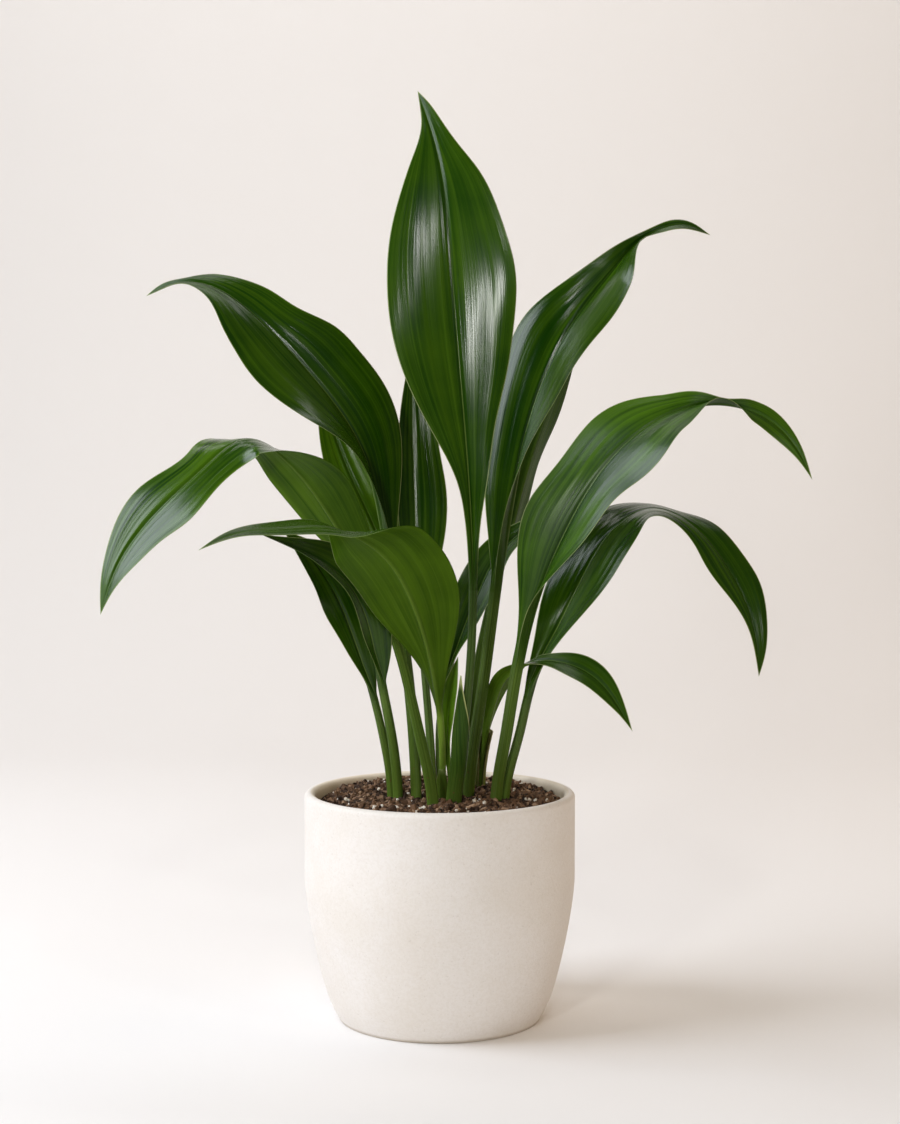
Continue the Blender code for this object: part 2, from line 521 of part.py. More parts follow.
def make_pot(material):
    lip = POT_WALL / 2
    profile = [(0, 0), (wall_radius(0) - EDGE_ROUND, 0), (wall_radius(EDGE_ROUND), EDGE_ROUND)]
    profile += [(wall_radius(height), height) for height in OUTER_HEIGHTS]
    for k in range(LIP_STEPS + 1):
        angle = pi * k / LIP_STEPS
        profile.append((POT_RADIUS - lip + lip * cos(angle), POT_HEIGHT - lip + lip * sin(angle)))
    profile += inner_wall(0)[::-1]
    return turned("pot", profile, material)


def make_rhizome(name, material, clearance):
    """Thick stems that lie in the mix under the feet of the leaves, with roots hanging from them."""
    foot = {leaf: np.array(LEAVES[leaf].path[0][:2], float) for leaf in LEAVES}
    bodies = []
    for branch in RHIZOME_BRANCHES:
        path = np.array([(*foot[leaf], RHIZOME_HEIGHT) for leaf in branch])
        over = unit(path[[0, -1]] - path[[1, -2]]) * RHIZOME_PAST
        path = np.vstack([path[0] + over[0], path, path[-1] + over[1]])
        bodies.append((path, RHIZOME_RADIUS, RHIZOME_SIDES, RHIZOME_STATIONS * len(branch)))
    for leaf, turn, reach, depth in ROOTS:
        way = np.array([cos(turn * pi / 180), sin(turn * pi / 180)])
        path = [(*(foot[leaf] + way * reach * share), RHIZOME_HEIGHT - ROOT_START - depth * share ** 2)
                for share in ROOT_SHARES]
        bodies.append((np.array(path), ROOT_RADIUS, ROOT_SIDES, ROOT_STATIONS))
    body = None
    for path, radius, sides, stations in bodies:
        shape = tube(path, radius, sides, stations, clearance)
        if body is not None:
            combine(body, add_tool(name + "_branch", *shape), "UNION")
        elif material is None:
            body = add_tool(name, *shape)
        else:
            body = add_body(name, *shape, material)
    return body


def tube(path, radius, sides, stations, clearance):
    """A round stem along a path that narrows to a blunt end at both ends, or the room that it needs."""
    u = np.linspace(0, 1, stations)
    centre, run = along(path, u)
    up = unit(np.array([0, 0, 1]) - run[:, 2:] * run)
    across = np.cross(run, up)
    end = np.minimum(1, BLUNT_END + BLUNT_RISE * np.minimum(u, 1 - u))
    angle = np.linspace(0, 2 * pi, sides, endpoint=False)[None, :]
    size = (radius * end + clearance)[:, None]
    centre[0] -= run[0] * clearance
    centre[-1] += run[-1] * clearance
    return loft(place_rings(centre, across, up, size * np.sin(angle), size * np.cos(angle)))


def make_leaf(name, leaf, material):
    u = np.linspace(0, 1, LEAF_STATIONS + 1)
    rings = place_rings(*leaf_rings(leaf, u[:-1]))
    return add_body(name, *loft(rings, end_point=leaf.path[-1]), material)


def centre_height(rings):
    return rings[..., 2].mean(1)


def sheath_rings(sheath, u, thickness, closed=False):
    """Rings of a sheath: an arc round the stalk and the same arc back again just inside it.

    Closed rings are whole circles round its outside, for the hole that it leaves in the mix.
    """
    leaf = LEAVES[sheath.leaf]
    share = SHEATH_LIFT + u * (sheath.top - SHEATH_LIFT)
    centre, run = along(leaf.path, share)
    centre = centre + keyed(sheath.lean, u) + stalk_middle(leaf, share)
    across = unit(np.array([1, 0, 0]) - run[:, :1] * run)
    up = np.cross(run, across)
    inner = keyed(sheath.radius, u)
    outer = inner + thickness
    if closed:
        angle = np.linspace(0, 2 * pi, 2 * SHEATH_STEPS, endpoint=False)[None, :]
        return place_rings(centre, across, up, outer * np.cos(angle), outer * np.sin(angle))
    start = np.radians(keyed(sheath.start, u))
    end = np.radians(keyed(sheath.end, u))
    angle = start + (end - start) * np.linspace(0, 1, SHEATH_STEPS)[None, :]
    side = np.hstack([outer * np.cos(angle), inner * np.cos(angle[:, ::-1])])
    rise = np.hstack([outer * np.sin(angle), inner * np.sin(angle[:, ::-1])])
    return place_rings(centre, across, up, side, rise)


def stalk_middle(leaf, u):
    """The way from the midrib, at the bottom of a stalk's channel, to the middle of the stalk."""
    _, _, up, _, rise = leaf_rings(leaf, u)
    return up * ((rise.max(1) + rise.min(1)) / 2)[:, None]


def make_sheath(name, sheath, material):
    u = np.linspace(0, 1, SHEATH_STATIONS)
    return add_body(name, *loft(sheath_rings(sheath, u, SHEATH_THICKNESS)), material)


def make_soil(material, rhizome_room):
    """A turned mound that fills the pot, with room for the rhizome and for every stalk."""
    wall = inner_wall(GAP)
    edge = wall_radius(SOIL_EDGE) - POT_WALL - GAP
    profile = wall + [(edge, SOIL_EDGE)]
    swell = SOIL_CROWN - SOIL_EDGE
    profile += [(radius, SOIL_CROWN - swell * (radius / edge) ** 2) for radius in SOIL_RINGS]
    profile.append((0, SOIL_CROWN))
    soil = turned("potting_mix", profile, material)
    combine(soil, rhizome_room, "DIFFERENCE")
    sheathed = {sheath.leaf: sheath for sheath in SHEATHS.values()}
    for name, leaf in LEAVES.items():
        if name in sheathed:
            u = np.linspace(0, 1, SHEATH_STATIONS)
            rings = sheath_rings(sheathed[name], u, SHEATH_THICKNESS + GAP, closed=True)
            rings = np.concatenate([rings[:1] - (0, 0, SHEATH_HOLE_DEPTH), rings])
        else:
            u = np.linspace(0, 1, LEAF_STATIONS + 1)
            centre, across, up, side, rise = leaf_rings(leaf, u)
            rings = place_rings(centre, across, up, *grown(side, rise, GAP))
        rings = rings[:np.argmax(centre_height(rings) > HOLE_TOP) + 1]
        rings[0] -= (0, 0, HOLE_DEPTH)
        combine(soil, add_tool("room_" + name, *loft(rings)), "DIFFERENCE")
    return soil


def main():
    for item in list(bpy.data.objects):
        bpy.data.objects.remove(item)
    make_pot(paint("pot", STONEWARE))
    make_rhizome("rhizome", paint("rhizome", ROOT_SKIN), 0)
    room = make_rhizome("room_rhizome", None, RHIZOME_ROOM)
    make_soil(paint("potting_mix", BARK_MIX), room)
    for name, leaf in LEAVES.items():
        finish = YOUNG_GREEN if name == "leaf_young" else LEAF_GREEN
        make_leaf(name, leaf, paint(name, finish))
    for name, sheath in SHEATHS.items():
        make_sheath(name, sheath, paint(name, SHEATH_SKIN))


main()
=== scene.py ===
"""Looks of the potted cast iron plant: leaves, sheaths, bark mix and stoneware pot in a pale studio.

The frame's nodes give the places. Tables of the leaves are in millimetres and degrees, as the plant was
laid out, and every mesh is in metres. Each piece is a surface worked out on a grid of two parameters.
"""
from math import cos, pi, radians, sin

import bpy
import numpy as np
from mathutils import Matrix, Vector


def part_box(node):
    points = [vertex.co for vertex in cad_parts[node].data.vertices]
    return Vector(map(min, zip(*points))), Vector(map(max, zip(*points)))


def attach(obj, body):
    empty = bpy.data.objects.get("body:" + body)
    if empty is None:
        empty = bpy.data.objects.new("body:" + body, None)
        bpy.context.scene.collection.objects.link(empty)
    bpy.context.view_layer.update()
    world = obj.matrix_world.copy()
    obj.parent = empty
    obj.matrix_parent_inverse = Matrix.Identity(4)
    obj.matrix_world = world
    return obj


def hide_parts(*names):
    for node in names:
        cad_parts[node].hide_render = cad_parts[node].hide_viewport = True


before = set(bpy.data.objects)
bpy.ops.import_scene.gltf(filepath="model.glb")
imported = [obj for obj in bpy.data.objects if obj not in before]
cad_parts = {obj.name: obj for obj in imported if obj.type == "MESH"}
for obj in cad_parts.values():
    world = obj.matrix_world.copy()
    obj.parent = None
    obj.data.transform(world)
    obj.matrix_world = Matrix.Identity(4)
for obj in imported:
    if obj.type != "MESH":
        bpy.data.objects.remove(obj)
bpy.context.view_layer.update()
MM = 0.001

# Pot, from the frame
POT_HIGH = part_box("pot")[1]
POT_RADIUS = POT_HIGH.x / MM
POT_HEIGHT = POT_HIGH.z / MM
POT_WALL = 8.0
SHOULDER_HEIGHT = 105.0      # the wall is upright above this height and draws in below it
DRAW_IN = 21.0               # how far the wall draws in between the shoulder and the foot
DRAW_POWER = 1.42
FOOT_DRAW_IN = 5.0           # the further draw just above the table
FOOT_POWER = 9
POT_FLOOR = 12.0
EDGE_ROUND = 1.2             # rounding of the edge at the base
CORNER_ROUND = 10.0          # rounding of the inside corner at the floor
POT_SECTORS = 192

# Potting mix
SOIL_EDGE = 156.5
SOIL_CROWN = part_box("potting_mix")[1].z / MM
SOIL_GAP = 0.3               # clearance between the mix and the pot
BACK_RISE = 6.5              # how much higher the mix lies against the back wall
BACK_RISE_FROM = -10
BACK_RISE_TO = 75
LUMPS = ((1.1, 9, 4), (0.7, 3.2, 5))    # height, width and seed
CRUMBS = 3000
CRUMB_SIZES = ((1.3, 0.5), (0.85, 0.4), (0.6, 0.4))    # of length, width, height: log of the usual, spread
CRUMB_LIMITS = (10, 6.5, 4.2)    # largest length, width and height
PERLITE_GRAINS = 125
PERLITE_LIMIT = 3.2
GRAIN_ROOM = 1.6             # clear of the stalks and the wall
WALL_MARGIN = 1.2

# Leaves
STATIONS = 170
HALF_STEPS = 28              # steps from the midrib to a margin on the upper face
BLADE_THICKNESS = 0.5
KEEL_DEPTH = 2.2
STALK_DEPTH = 0.8
STALK_CROWN = 1.1            # height of the rounded upper side above its channel, per half width
STALK_FADE = 0.16            # share of the blade over which the stalk's roundness dies away
PLEAT_HEIGHT = 0.7
GROOVE_DEPTH = 0.4           # of the channel over the midrib
GROOVE_WIDTH = 1.1
RIM_HEIGHT = 0.12            # of the low ridge on each side of the channel
RIM_PLACE = 2.6
RIM_WIDTH = 1.2
KEEL_WIDTH = 1.3
FULL_RELIEF = 30             # half width from which the pleats and waves have their whole height
FULL_THICKNESS = 4           # half width from which the blade has its whole thickness
LAST_STEP = 0.985            # share of the half width at which the margin's round begins
WAVE_HEIGHT = 1.3            # of the slow wave of the margins
THINNEST = 0.02
FOOT_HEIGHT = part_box("rhizome")[1].z / MM + 0.3

# Sheaths
SHEATH_THICKNESS = 0.6
SHEATH_STATIONS = 90
SHEATH_STEPS = 44
SHEATH_LIFT = 0.012
SHEATH_RIDGES = ((0.10, 17, 0), (0.05, 41, 1))    # height, ridges in a full turn and where they start

# Colours, linear red, green and blue
LEAF_VEIN = (0.065, 0.15, 0.008)
UNDER_VEIN = (0.10, 0.18, 0.015)
RIB_GREEN = (0.20, 0.30, 0.06)
MARGIN_GREEN = (0.30, 0.36, 0.13)
STALK_DEEP = (0.018, 0.046, 0.004)
STALK_FRESH = (0.120, 0.200, 0.030)
STALK_LIGHT = (0.26, 0.42, 0.055)
FOOT_GREEN = (0.11, 0.18, 0.025)
SPECK_BROWN = (0.16, 0.09, 0.03)
CLAY_PALE = (0.85, 0.81, 0.775)
CLAY_WARM = (0.81, 0.760, 0.705)
CLAY_MOTTLE = (0.66, 0.59, 0.50)
CLAY_SPECK = (0.38, 0.32, 0.25)
# painted contact shadow along the pot's foot
CLAY_CONTACT_SHADOW = (0.40, 0.31, 0.21)
# inside of the pot and the band near the mix: partly real stain, partly painted shade of the inner wall
CLAY_INSIDE = (0.76, 0.66, 0.51)
SOIL_STAIN_AND_SHADE = (0.46, 0.36, 0.22)
CLAY_FLECK = (0.93, 0.91, 0.88)
PEAT_DARK = (0.007, 0.003, 0.002)
PEAT_LIGHT = (0.035, 0.017, 0.009)
BARK_DARK = (0.028, 0.013, 0.006)
BARK_BROWN = (0.185, 0.098, 0.050)
BARK_TAN = (0.36, 0.23, 0.14)
BARK_FIBRE = (0.17, 0.095, 0.055)
PERLITE_CREAM = (0.84, 0.79, 0.70)
PERLITE_STAIN = (0.62, 0.50, 0.35)
PERLITE_PORE = (0.42, 0.34, 0.26)
SKIN_DARK = (0.16, 0.10, 0.05)
SKIN_PALE = (0.42, 0.32, 0.19)
PAPER = (0.86, 0.846, 0.835)
AIR = (1.0, 0.78, 0.58)
AIR_STRENGTH = 0.12
COOL = (0.84, 0.89, 0.97)
WARM = (1.0, 0.72, 0.45)
FLASH = (0.96, 0.96, 0.93)
WASH = (1.0, 0.98, 0.96)

# How a leaf is coloured, unless its own tones say otherwise. A stalk_light under 0 darkens the stalk as
# painted shade; over 0 it pales the stalk, the stalk's own paler green and on the front leaf also painted
# light.
PLAIN_TONES = dict(
    deep=(0.006, 0.034, 0.0004), fresh=(0.034, 0.085, 0.0014), under_deep=(0.012, 0.040, 0.002),
    under_fresh=(0.036, 0.082, 0.006), rib_light=0.4, roughness=0.18, stalk_light=0.0)
LEAF_TONES = {
    # painted shade: the tall leaf's stalk is darkened all along, for the leaves' shade over it
    "leaf_tall_centre": dict(roughness=0.17, stalk_light=-0.6),
    "leaf_mid_left": dict(
        deep=(0.006, 0.034, 0.0003), fresh=(0.048, 0.115, 0.002), under_deep=(0.022, 0.060, 0.002),
        under_fresh=(0.072, 0.142, 0.008), roughness=0.16),
    "leaf_behind_left": dict(
        deep=(0.020, 0.060, 0.001), fresh=(0.070, 0.150, 0.004), under_deep=(0.030, 0.062, 0.006),
        under_fresh=(0.070, 0.120, 0.016), roughness=0.2),
    "leaf_mid_right": dict(
        deep=(0.008, 0.036, 0.0003), fresh=(0.055, 0.135, 0.002), rib_light=0.45, roughness=0.3),
    # the front leaf's pale stalk is partly painted light on a stalk that the key reaches
    "leaf_front": dict(
        deep=(0.010, 0.034, 0.0003), fresh=(0.040, 0.095, 0.002), under_deep=(0.023, 0.056, 0.0008),
        under_fresh=(0.060, 0.122, 0.004), rib_light=0.5, roughness=0.24, stalk_light=0.85),
    "leaf_young": dict(
        deep=(0.05, 0.12, 0.003), fresh=(0.11, 0.23, 0.006), under_deep=(0.05, 0.12, 0.003),
        under_fresh=(0.11, 0.23, 0.006), rib_light=0.6, roughness=0.3, stalk_light=0.5),
    "leaf_small_right": dict(
        deep=(0.012, 0.042, 0.001), fresh=(0.036, 0.088, 0.003), under_deep=(0.06, 0.13, 0.005),
        under_fresh=(0.13, 0.22, 0.02), rib_light=0.5, roughness=0.24, stalk_light=0.3),
}

# A sheath's material: its name, its deep and fresh tones, which also give the painted shade on its right and
# the painted light on its left, and the tone of its dry edge
SHEATH_TONES = {
    "sheath_tall": ("green_scale", (0.016, 0.048, 0.003), (0.075, 0.150, 0.014), (0.42, 0.47, 0.18)),
    "sheath_front": ("dark_scale", (0.055, 0.100, 0.010), (0.140, 0.220, 0.025), (0.20, 0.26, 0.08)),
    "sheath_right": ("brown_scale", (0.19, 0.21, 0.05), (0.30, 0.33, 0.09), (0.38, 0.34, 0.15)),
}

# Studio, in metres
SWEEP_SIZE = 6.0             # how far the paper reaches to each side, to the front and up
SWEEP_FRONT = 1.3            # where the paper starts to rise
SWEEP_ROUND = 1.2
PLANT_MIDDLE = (0, 0, 0.35)
LEAVES_MIDDLE = (0, 0, 0.5)
WALL_MIDDLE = (-0.05, 2.5, 0.5)
CAMERA_PLACE = (0.0076, -1.5034, 0.4181)
CAMERA_DIP = 3.05            # degrees below level
CAMERA_LENS = 65.5           # millimetres, on a sensor 36 mm high


class Leaf:
    """How one leaf grows: its midrib's path, its outline and the way that its upper face turns."""

    def __init__(self, path, blade, stalk, outline, faces, fold, curl=((0, 0),)):
        self.path = path          # points on the midrib from the rhizome to the tip
        self.blade = blade        # share of the length at which the blade begins
        self.stalk = stalk        # half the width of the stalk
        self.outline = outline    # (share of the blade, width left of the midrib, width right of it)
        self.faces = faces        # (share of the length, direction that the upper face looks in)
        self.fold = fold          # (share, how far each half rises from flat beside the midrib)
        self.curl = curl          # (share, how far each half bends on the way to its margin)


LEAVES = {
    "leaf_tall_centre": Leaf(
        path=[(9, -8, FOOT_HEIGHT), (10, -10, 163), (17, -20, 210), (23, -26, 272), (24, -30, 340),
              (19, -34, 427), (10, -30, 535), (-3, -14, 640), (-16, 0, 681)],
        blade=0.36, stalk=4.1,
        outline=[(0.12, 5.5, 8.5), (0.2, 9.5, 14.5), (0.3, 24, 22), (0.4, 38.5, 33.5), (0.5, 46.5, 42),
                 (0.6, 47.5, 46), (0.7, 42.5, 39.5), (0.8, 29.5, 28), (0.86, 18.5, 17), (0.92, 6.5, 9.5),
                 (0.97, 2, 4.5)],
        faces=[(0, (-0.6, -0.8, 0)), (0.4, (0, -1, 0)), (0.7, (-0.05, -1, 0.1)), (1, (-0.3, -1, 0.3))],
        fold=[(0, 30), (0.38, 50), (0.55, 18), (0.8, 14), (1, 10)],
        curl=[(0, 0), (0.5, -20), (1, -10)]),
    "leaf_upper_right": Leaf(
        path=[(21, 20, FOOT_HEIGHT), (22.5, 18, 165), (32.5, 14, 240), (44.5, 14, 330), (53, 18, 381),
              (66, 24, 441), (97, 34, 512), (131, 44, 557), (156, 50, 582), (185, 55, 591), (205, 58, 583)],
        blade=0.36, stalk=4.4,
        outline=[(0.1, 13, 12), (0.2, 22.5, 21.5), (0.3, 27, 28), (0.4, 32, 31.5), (0.48, 37.5, 29),
                 (0.56, 37, 29), (0.64, 26, 31), (0.72, 16.5, 28), (0.8, 8.5, 19), (0.86, 3.5, 9),
                 (0.92, 4.5, 8)],
        faces=[(0, (-0.9, -0.4, 0)), (0.36, (-0.9, -0.42, 0)), (0.53, (-0.82, -0.57, 0.1)),
               (0.64, (-0.65, -0.75, 0.2)), (0.75, (-0.45, -0.85, 0.3)), (0.88, (-0.2, -0.8, 0.6)),
               (1, (0, -0.7, 0.8))],
        fold=[(0, 30), (0.36, 60), (0.53, 38), (0.7, 20), (0.82, 30), (0.885, 60), (0.93, 22), (1, 12)],
        curl=[(0, 0), (0.5, -15)]),
    "leaf_behind_right": Leaf(
        path=[(18, 40, FOOT_HEIGHT), (19, 40, 168), (24.5, 42, 220), (33, 48, 272), (49, 61, 338),
              (65, 78, 400), (87, 94, 463), (116, 110, 532)],
        blade=0.42, stalk=4.0,
        outline=[(0.15, 15, 12), (0.3, 28, 23), (0.45, 30, 27), (0.6, 29, 27), (0.75, 21, 22),
                 (0.88, 10, 12)],
        faces=[(0, (-0.9, 0.4, 0)), (0.4, (-0.8, 0.6, 0)), (1, (-0.5, 0.8, 0.3))],
        fold=[(0, 30), (0.42, 55), (0.6, 30), (1, 20)]),
    "leaf_mid_right": Leaf(
        path=[(43, 5, FOOT_HEIGHT), (43, 3, 165), (49, -6, 205), (59, -18, 268), (73, -27, 320),
              (91, -33, 363), (122, -37, 413), (160, -36, 444), (205, -31, 453), (238, -33, 441),
              (258, -38, 418), (266, -44, 399)],
        blade=0.30, stalk=4.4,
        outline=[(0.1, 11, 13), (0.2, 25.5, 26), (0.3, 34.5, 32), (0.4, 31, 29.5), (0.5, 34.5, 36),
                 (0.56, 31, 36), (0.63, 19, 27), (0.7, 9, 21), (0.745, 4.5, 12), (0.8, 9, 11.5),
                 (0.87, 7.5, 11), (0.94, 3, 5)],
        faces=[(0, (-0.8, -0.3, 0.2)), (0.3, (-0.85, -0.35, 0.3)), (0.45, (-0.65, -0.7, 0.4)),
               (0.62, (-0.35, -0.76, 0.55)), (0.74, (-0.2, -0.62, 0.78)), (0.83, (0, -0.8, 0.8)),
               (1, (0.2, -0.9, 0.3))],
        fold=[(0, 30), (0.3, 62), (0.42, 45), (0.56, 24), (0.64, 13), (0.74, 18), (0.82, 66), (0.87, 18),
              (1, 10)],
        curl=[(0, 0), (0.5, -15)]),
    "leaf_low_right": Leaf(
        path=[(49.5, 13, FOOT_HEIGHT), (49.5, 11, 165), (60, 6, 210), (70, 4, 251), (81, 4, 277),
              (104, 6, 324), (128, 6, 362), (155, 4, 377.5), (184, -4, 367), (212, -22, 331),
              (227, -36, 291), (229, -44, 258)],
        blade=0.26, stalk=4.2,
        outline=[(0.12, 12, 13.5), (0.25, 23.5, 29), (0.35, 26.5, 32), (0.44, 31, 33), (0.5, 27, 33),
                 (0.57, 20, 20), (0.64, 18, 15.5), (0.72, 16.5, 20), (0.8, 17.5, 16), (0.88, 12.5, 8),
                 (0.95, 6.5, 3)],
        faces=[(0, (-0.6, -0.6, 0.2)), (0.26, (-0.6, -0.8, 0.2)), (0.42, (-0.5, -0.75, 0.5)),
               (0.55, (-0.3, -0.55, 0.85)), (0.665, (0.1, -0.14, 1)), (0.75, (0.4, -0.65, 0.7)),
               (0.85, (0.5, -0.85, 0.3)), (1, (0.6, -0.9, 0.1))],
        fold=[(0, 30), (0.28, 50), (0.42, 28), (0.55, 10), (0.665, 4), (0.8, 15), (1, 15)],
        curl=[(0, 0), (0.5, -15)]),
    "leaf_small_right": Leaf(
        path=[(30.5, 47, FOOT_HEIGHT), (30.5, 44, 165), (34, 36.5, 200), (40.5, 25, 230), (51, 6, 254.5),
              (68, -9, 265.5), (88, -21, 266.5), (110, -34, 258), (127, -50, 239), (137, -62, 221)],
        blade=0.28, stalk=2.6,
        outline=[(0.1, 5, 5.5), (0.22, 9, 8), (0.34, 10, 8.5), (0.45, 7.5, 8), (0.54, 7, 9.5),
                 (0.64, 10.5, 14), (0.76, 10, 12.5), (0.86, 6, 7.5), (0.93, 3, 3)],
        faces=[(0, (-0.7, 0.2, 0.2)), (0.28, (-0.3, 0.9, 0.3)), (0.45, (-0.2, 0.75, 0.6)),
               (0.56, (0, 0.1, 1)), (0.64, (0, -0.5, 0.9)), (0.76, (0.1, -0.7, 0.7)),
               (1, (0.3, -0.9, 0.4))],
        fold=[(0, 30), (0.28, 40), (0.45, 25), (0.58, 12), (0.7, 20), (1, 12)],
        curl=[(0, 0), (0.5, -10)]),
    "leaf_upper_left": Leaf(
        path=[(-18, 5, FOOT_HEIGHT), (-18.5, 6, 165), (-22, 10, 225), (-32, 16, 305), (-43, 18, 368),
              (-59, 18, 424), (-97, 22, 478), (-140, 28, 523), (-176, 36, 545), (-203, 42, 545),
              (-221, 44, 536)],
        blade=0.40, stalk=4.0,
        outline=[(0.1, 12, 11.5), (0.2, 23, 23), (0.3, 32, 36), (0.38, 38, 41), (0.48, 42.5, 41.5),
                 (0.56, 44, 39), (0.64, 39, 28), (0.72, 31.5, 24), (0.79, 20.5, 19), (0.85, 11.5, 12.5),
                 (0.905, 4, 4.5), (0.95, 3.5, 4)],
        faces=[(0, (0.9, -0.4, 0)), (0.4, (0.9, -0.42, 0)), (0.55, (0.8, -0.6, 0.1)),
               (0.65, (0.6, -0.78, 0.2)), (0.76, (0.4, -0.85, 0.3)), (0.9, (0.1, -0.6, 0.8)),
               (1, (0, -0.6, 0.8))],
        fold=[(0, 30), (0.4, 60), (0.55, 38), (0.7, 20), (1, 12)],
        curl=[(0, 0), (0.5, -15)]),
    "leaf_mid_left": Leaf(
        path=[(-6, -18, FOOT_HEIGHT), (-6, -20, 165), (-14.5, -27, 210), (-28, -32, 268), (-46, -35, 317),
              (-75, -35, 368), (-108, -35, 412.5), (-135, -39, 429), (-165, -54, 410), (-200, -69, 375),
              (-225, -81, 338), (-235, -88, 306)],
        blade=0.34, stalk=4.6,
        outline=[(0.12, 13.5, 13), (0.22, 22, 21), (0.32, 33, 25), (0.4, 40, 27), (0.47, 37, 28),
                 (0.54, 28, 30), (0.6, 23.5, 22.5), (0.66, 25.5, 22), (0.73, 28.5, 26), (0.8, 22.5, 23),
                 (0.88, 16, 14), (0.95, 5.5, 6.5)],
        faces=[(0, (0.7, 0.3, 0.2)), (0.34, (0.3, 0.95, 0.2)), (0.5, (0.2, 0.9, 0.5)),
               (0.6, (0.1, 0.5, 0.9)), (0.66, (0, 0, 1)), (0.74, (-0.1, -0.7, 0.75)),
               (1, (-0.6, -0.8, 0.3))],
        fold=[(0, 30), (0.34, 50), (0.5, 15), (0.63, -15), (0.74, 4), (1, 12)],
        curl=[(0, 0), (0.5, -10)]),
    "leaf_front": Leaf(
        path=[(1, 4, FOOT_HEIGHT), (1.5, 2, 163), (1, -18, 215), (-7.5, -46, 275), (-22, -80, 322),
              (-46, -112, 356), (-74, -128, 368), (-104, -142, 368), (-134, -157, 365),
              (-157, -170, 354.5)],
        blade=0.28, stalk=3.1,
        outline=[(0.1, 11, 10.5), (0.2, 22, 21.5), (0.3, 32, 31), (0.42, 37.5, 34.5), (0.5, 40.5, 36),
                 (0.57, 42, 35), (0.64, 31, 30), (0.74, 17.5, 19), (0.84, 12, 11.5), (0.92, 5, 5.5)],
        faces=[(0, (0.3, 0.8, 0.2)), (0.28, (0.2, 1, 0.3)), (0.56, (0.1, 1, 0.5)), (0.66, (0, 0.7, 1)),
               (0.76, (0, -0.22, 1)), (1, (0, -0.4, 0.9))],
        fold=[(0, 30), (0.28, 40), (0.45, 14), (0.7, 4), (1, 8)],
        curl=[(0, 0), (0.5, -10)]),
    "leaf_low_behind": Leaf(
        path=[(3, 33, FOOT_HEIGHT), (1, 33, 165), (0, 33, 212), (5, 35, 245), (14, 38, 275), (30, 45, 315),
              (48, 50, 346), (66, 52, 362), (79, 53, 378)],
        blade=0.44, stalk=3.0,
        outline=[(0.15, 9, 9), (0.35, 17, 17), (0.6, 16, 16), (0.8, 10, 10)],
        faces=[(0, (-0.6, -0.6, 0)), (0.45, (-0.5, -0.8, 0.3)), (1, (-0.4, -0.8, 0.5))],
        fold=[(0, 30), (0.45, 50), (0.6, 25), (1, 15)]),
    "leaf_behind_left": Leaf(
        path=[(-18, 29, FOOT_HEIGHT), (-18, 31, 168), (-21, 41, 225), (-31, 57, 300), (-49, 73, 358),
              (-71, 84, 405), (-86, 91, 445), (-96, 97, 478)],
        blade=0.42, stalk=3.8,
        outline=[(0.15, 8, 12), (0.35, 16, 24), (0.55, 18.5, 27), (0.75, 14, 20), (0.88, 7, 10)],
        faces=[(0, (0.8, -0.5, 0)), (0.45, (0.15, -0.95, 0.1)), (1, (0.05, -0.95, 0.3))],
        fold=[(0, 30), (0.42, 50), (0.6, 8), (1, 6)]),
    "leaf_behind_centre": Leaf(
        path=[(-7, 29, FOOT_HEIGHT), (-6.5, 29, 166), (-11, 33, 240), (-17, 42, 315), (-19, 50, 375),
              (-21, 56, 440), (-21, 62, 505)],
        blade=0.40, stalk=4.0,
        outline=[(0.12, 7, 9.5), (0.3, 12, 20.5), (0.5, 14, 24.3), (0.62, 12.5, 20.5), (0.75, 9.5, 16),
                 (0.88, 5, 7.5)],
        faces=[(0, (0.5, -0.8, 0)), (0.4, (0.25, -0.95, 0)), (1, (0.15, -0.95, 0.2))],
        fold=[(0, 30), (0.42, 50), (0.55, 8), (1, 8)]),
    "leaf_dark_left": Leaf(
        path=[(-32, 8, FOOT_HEIGHT), (-32, 6, 165), (-36, -10, 210), (-43, -30, 254), (-50, -48, 294),
              (-66, -74, 330), (-90, -94, 349), (-121, -116, 363)],
        blade=0.44, stalk=3.8,
        outline=[(0.12, 8, 11), (0.3, 10, 19), (0.5, 10, 22), (0.75, 8, 15), (0.9, 4, 6)],
        faces=[(0, (0.9, -0.2, 0.1)), (0.44, (0.6, -0.7, 0.2)), (0.6, (0.35, -0.85, 0.5)),
               (1, (0.1, -0.4, 0.9))],
        fold=[(0, 30), (0.44, 50), (0.6, 15), (1, 8)]),
    "leaf_outer_left": Leaf(
        path=[(-38, 18, FOOT_HEIGHT), (-37, 14, 167), (-42, 4, 205), (-52, -10, 250), (-62, -21, 283),
              (-75, -38, 318), (-91, -52, 344), (-110, -64, 364)],
        blade=0.44, stalk=3.4,
        outline=[(0.12, 6, 8), (0.3, 10.5, 15), (0.45, 14.5, 18), (0.6, 17.5, 18), (0.75, 16, 15),
                 (0.9, 9.5, 7)],
        faces=[(0, (0.9, -0.2, 0.1)), (0.44, (0.55, -0.8, 0.2)), (0.6, (0.3, -0.9, 0.3)),
               (1, (0.2, -0.6, 0.8))],
        fold=[(0, 30), (0.44, 40), (0.6, 12), (1, 8)]),
    "leaf_young": Leaf(
        path=[(10, 7, FOOT_HEIGHT), (9.5, 6, 165), (5.5, 2, 205), (6.5, 0, 230), (10, 1, 252),
              (13.6, 3, 268)],
        blade=0.42, stalk=2.5,
        outline=[(0.2, 6, 6), (0.45, 8.5, 8), (0.65, 7.5, 7.5), (0.85, 3.5, 4)],
        faces=[(0, (-0.4, -0.8, 0)), (1, (-0.3, -0.9, 0))],
        fold=[(0, 40), (0.4, 50), (1, 24)]),
}


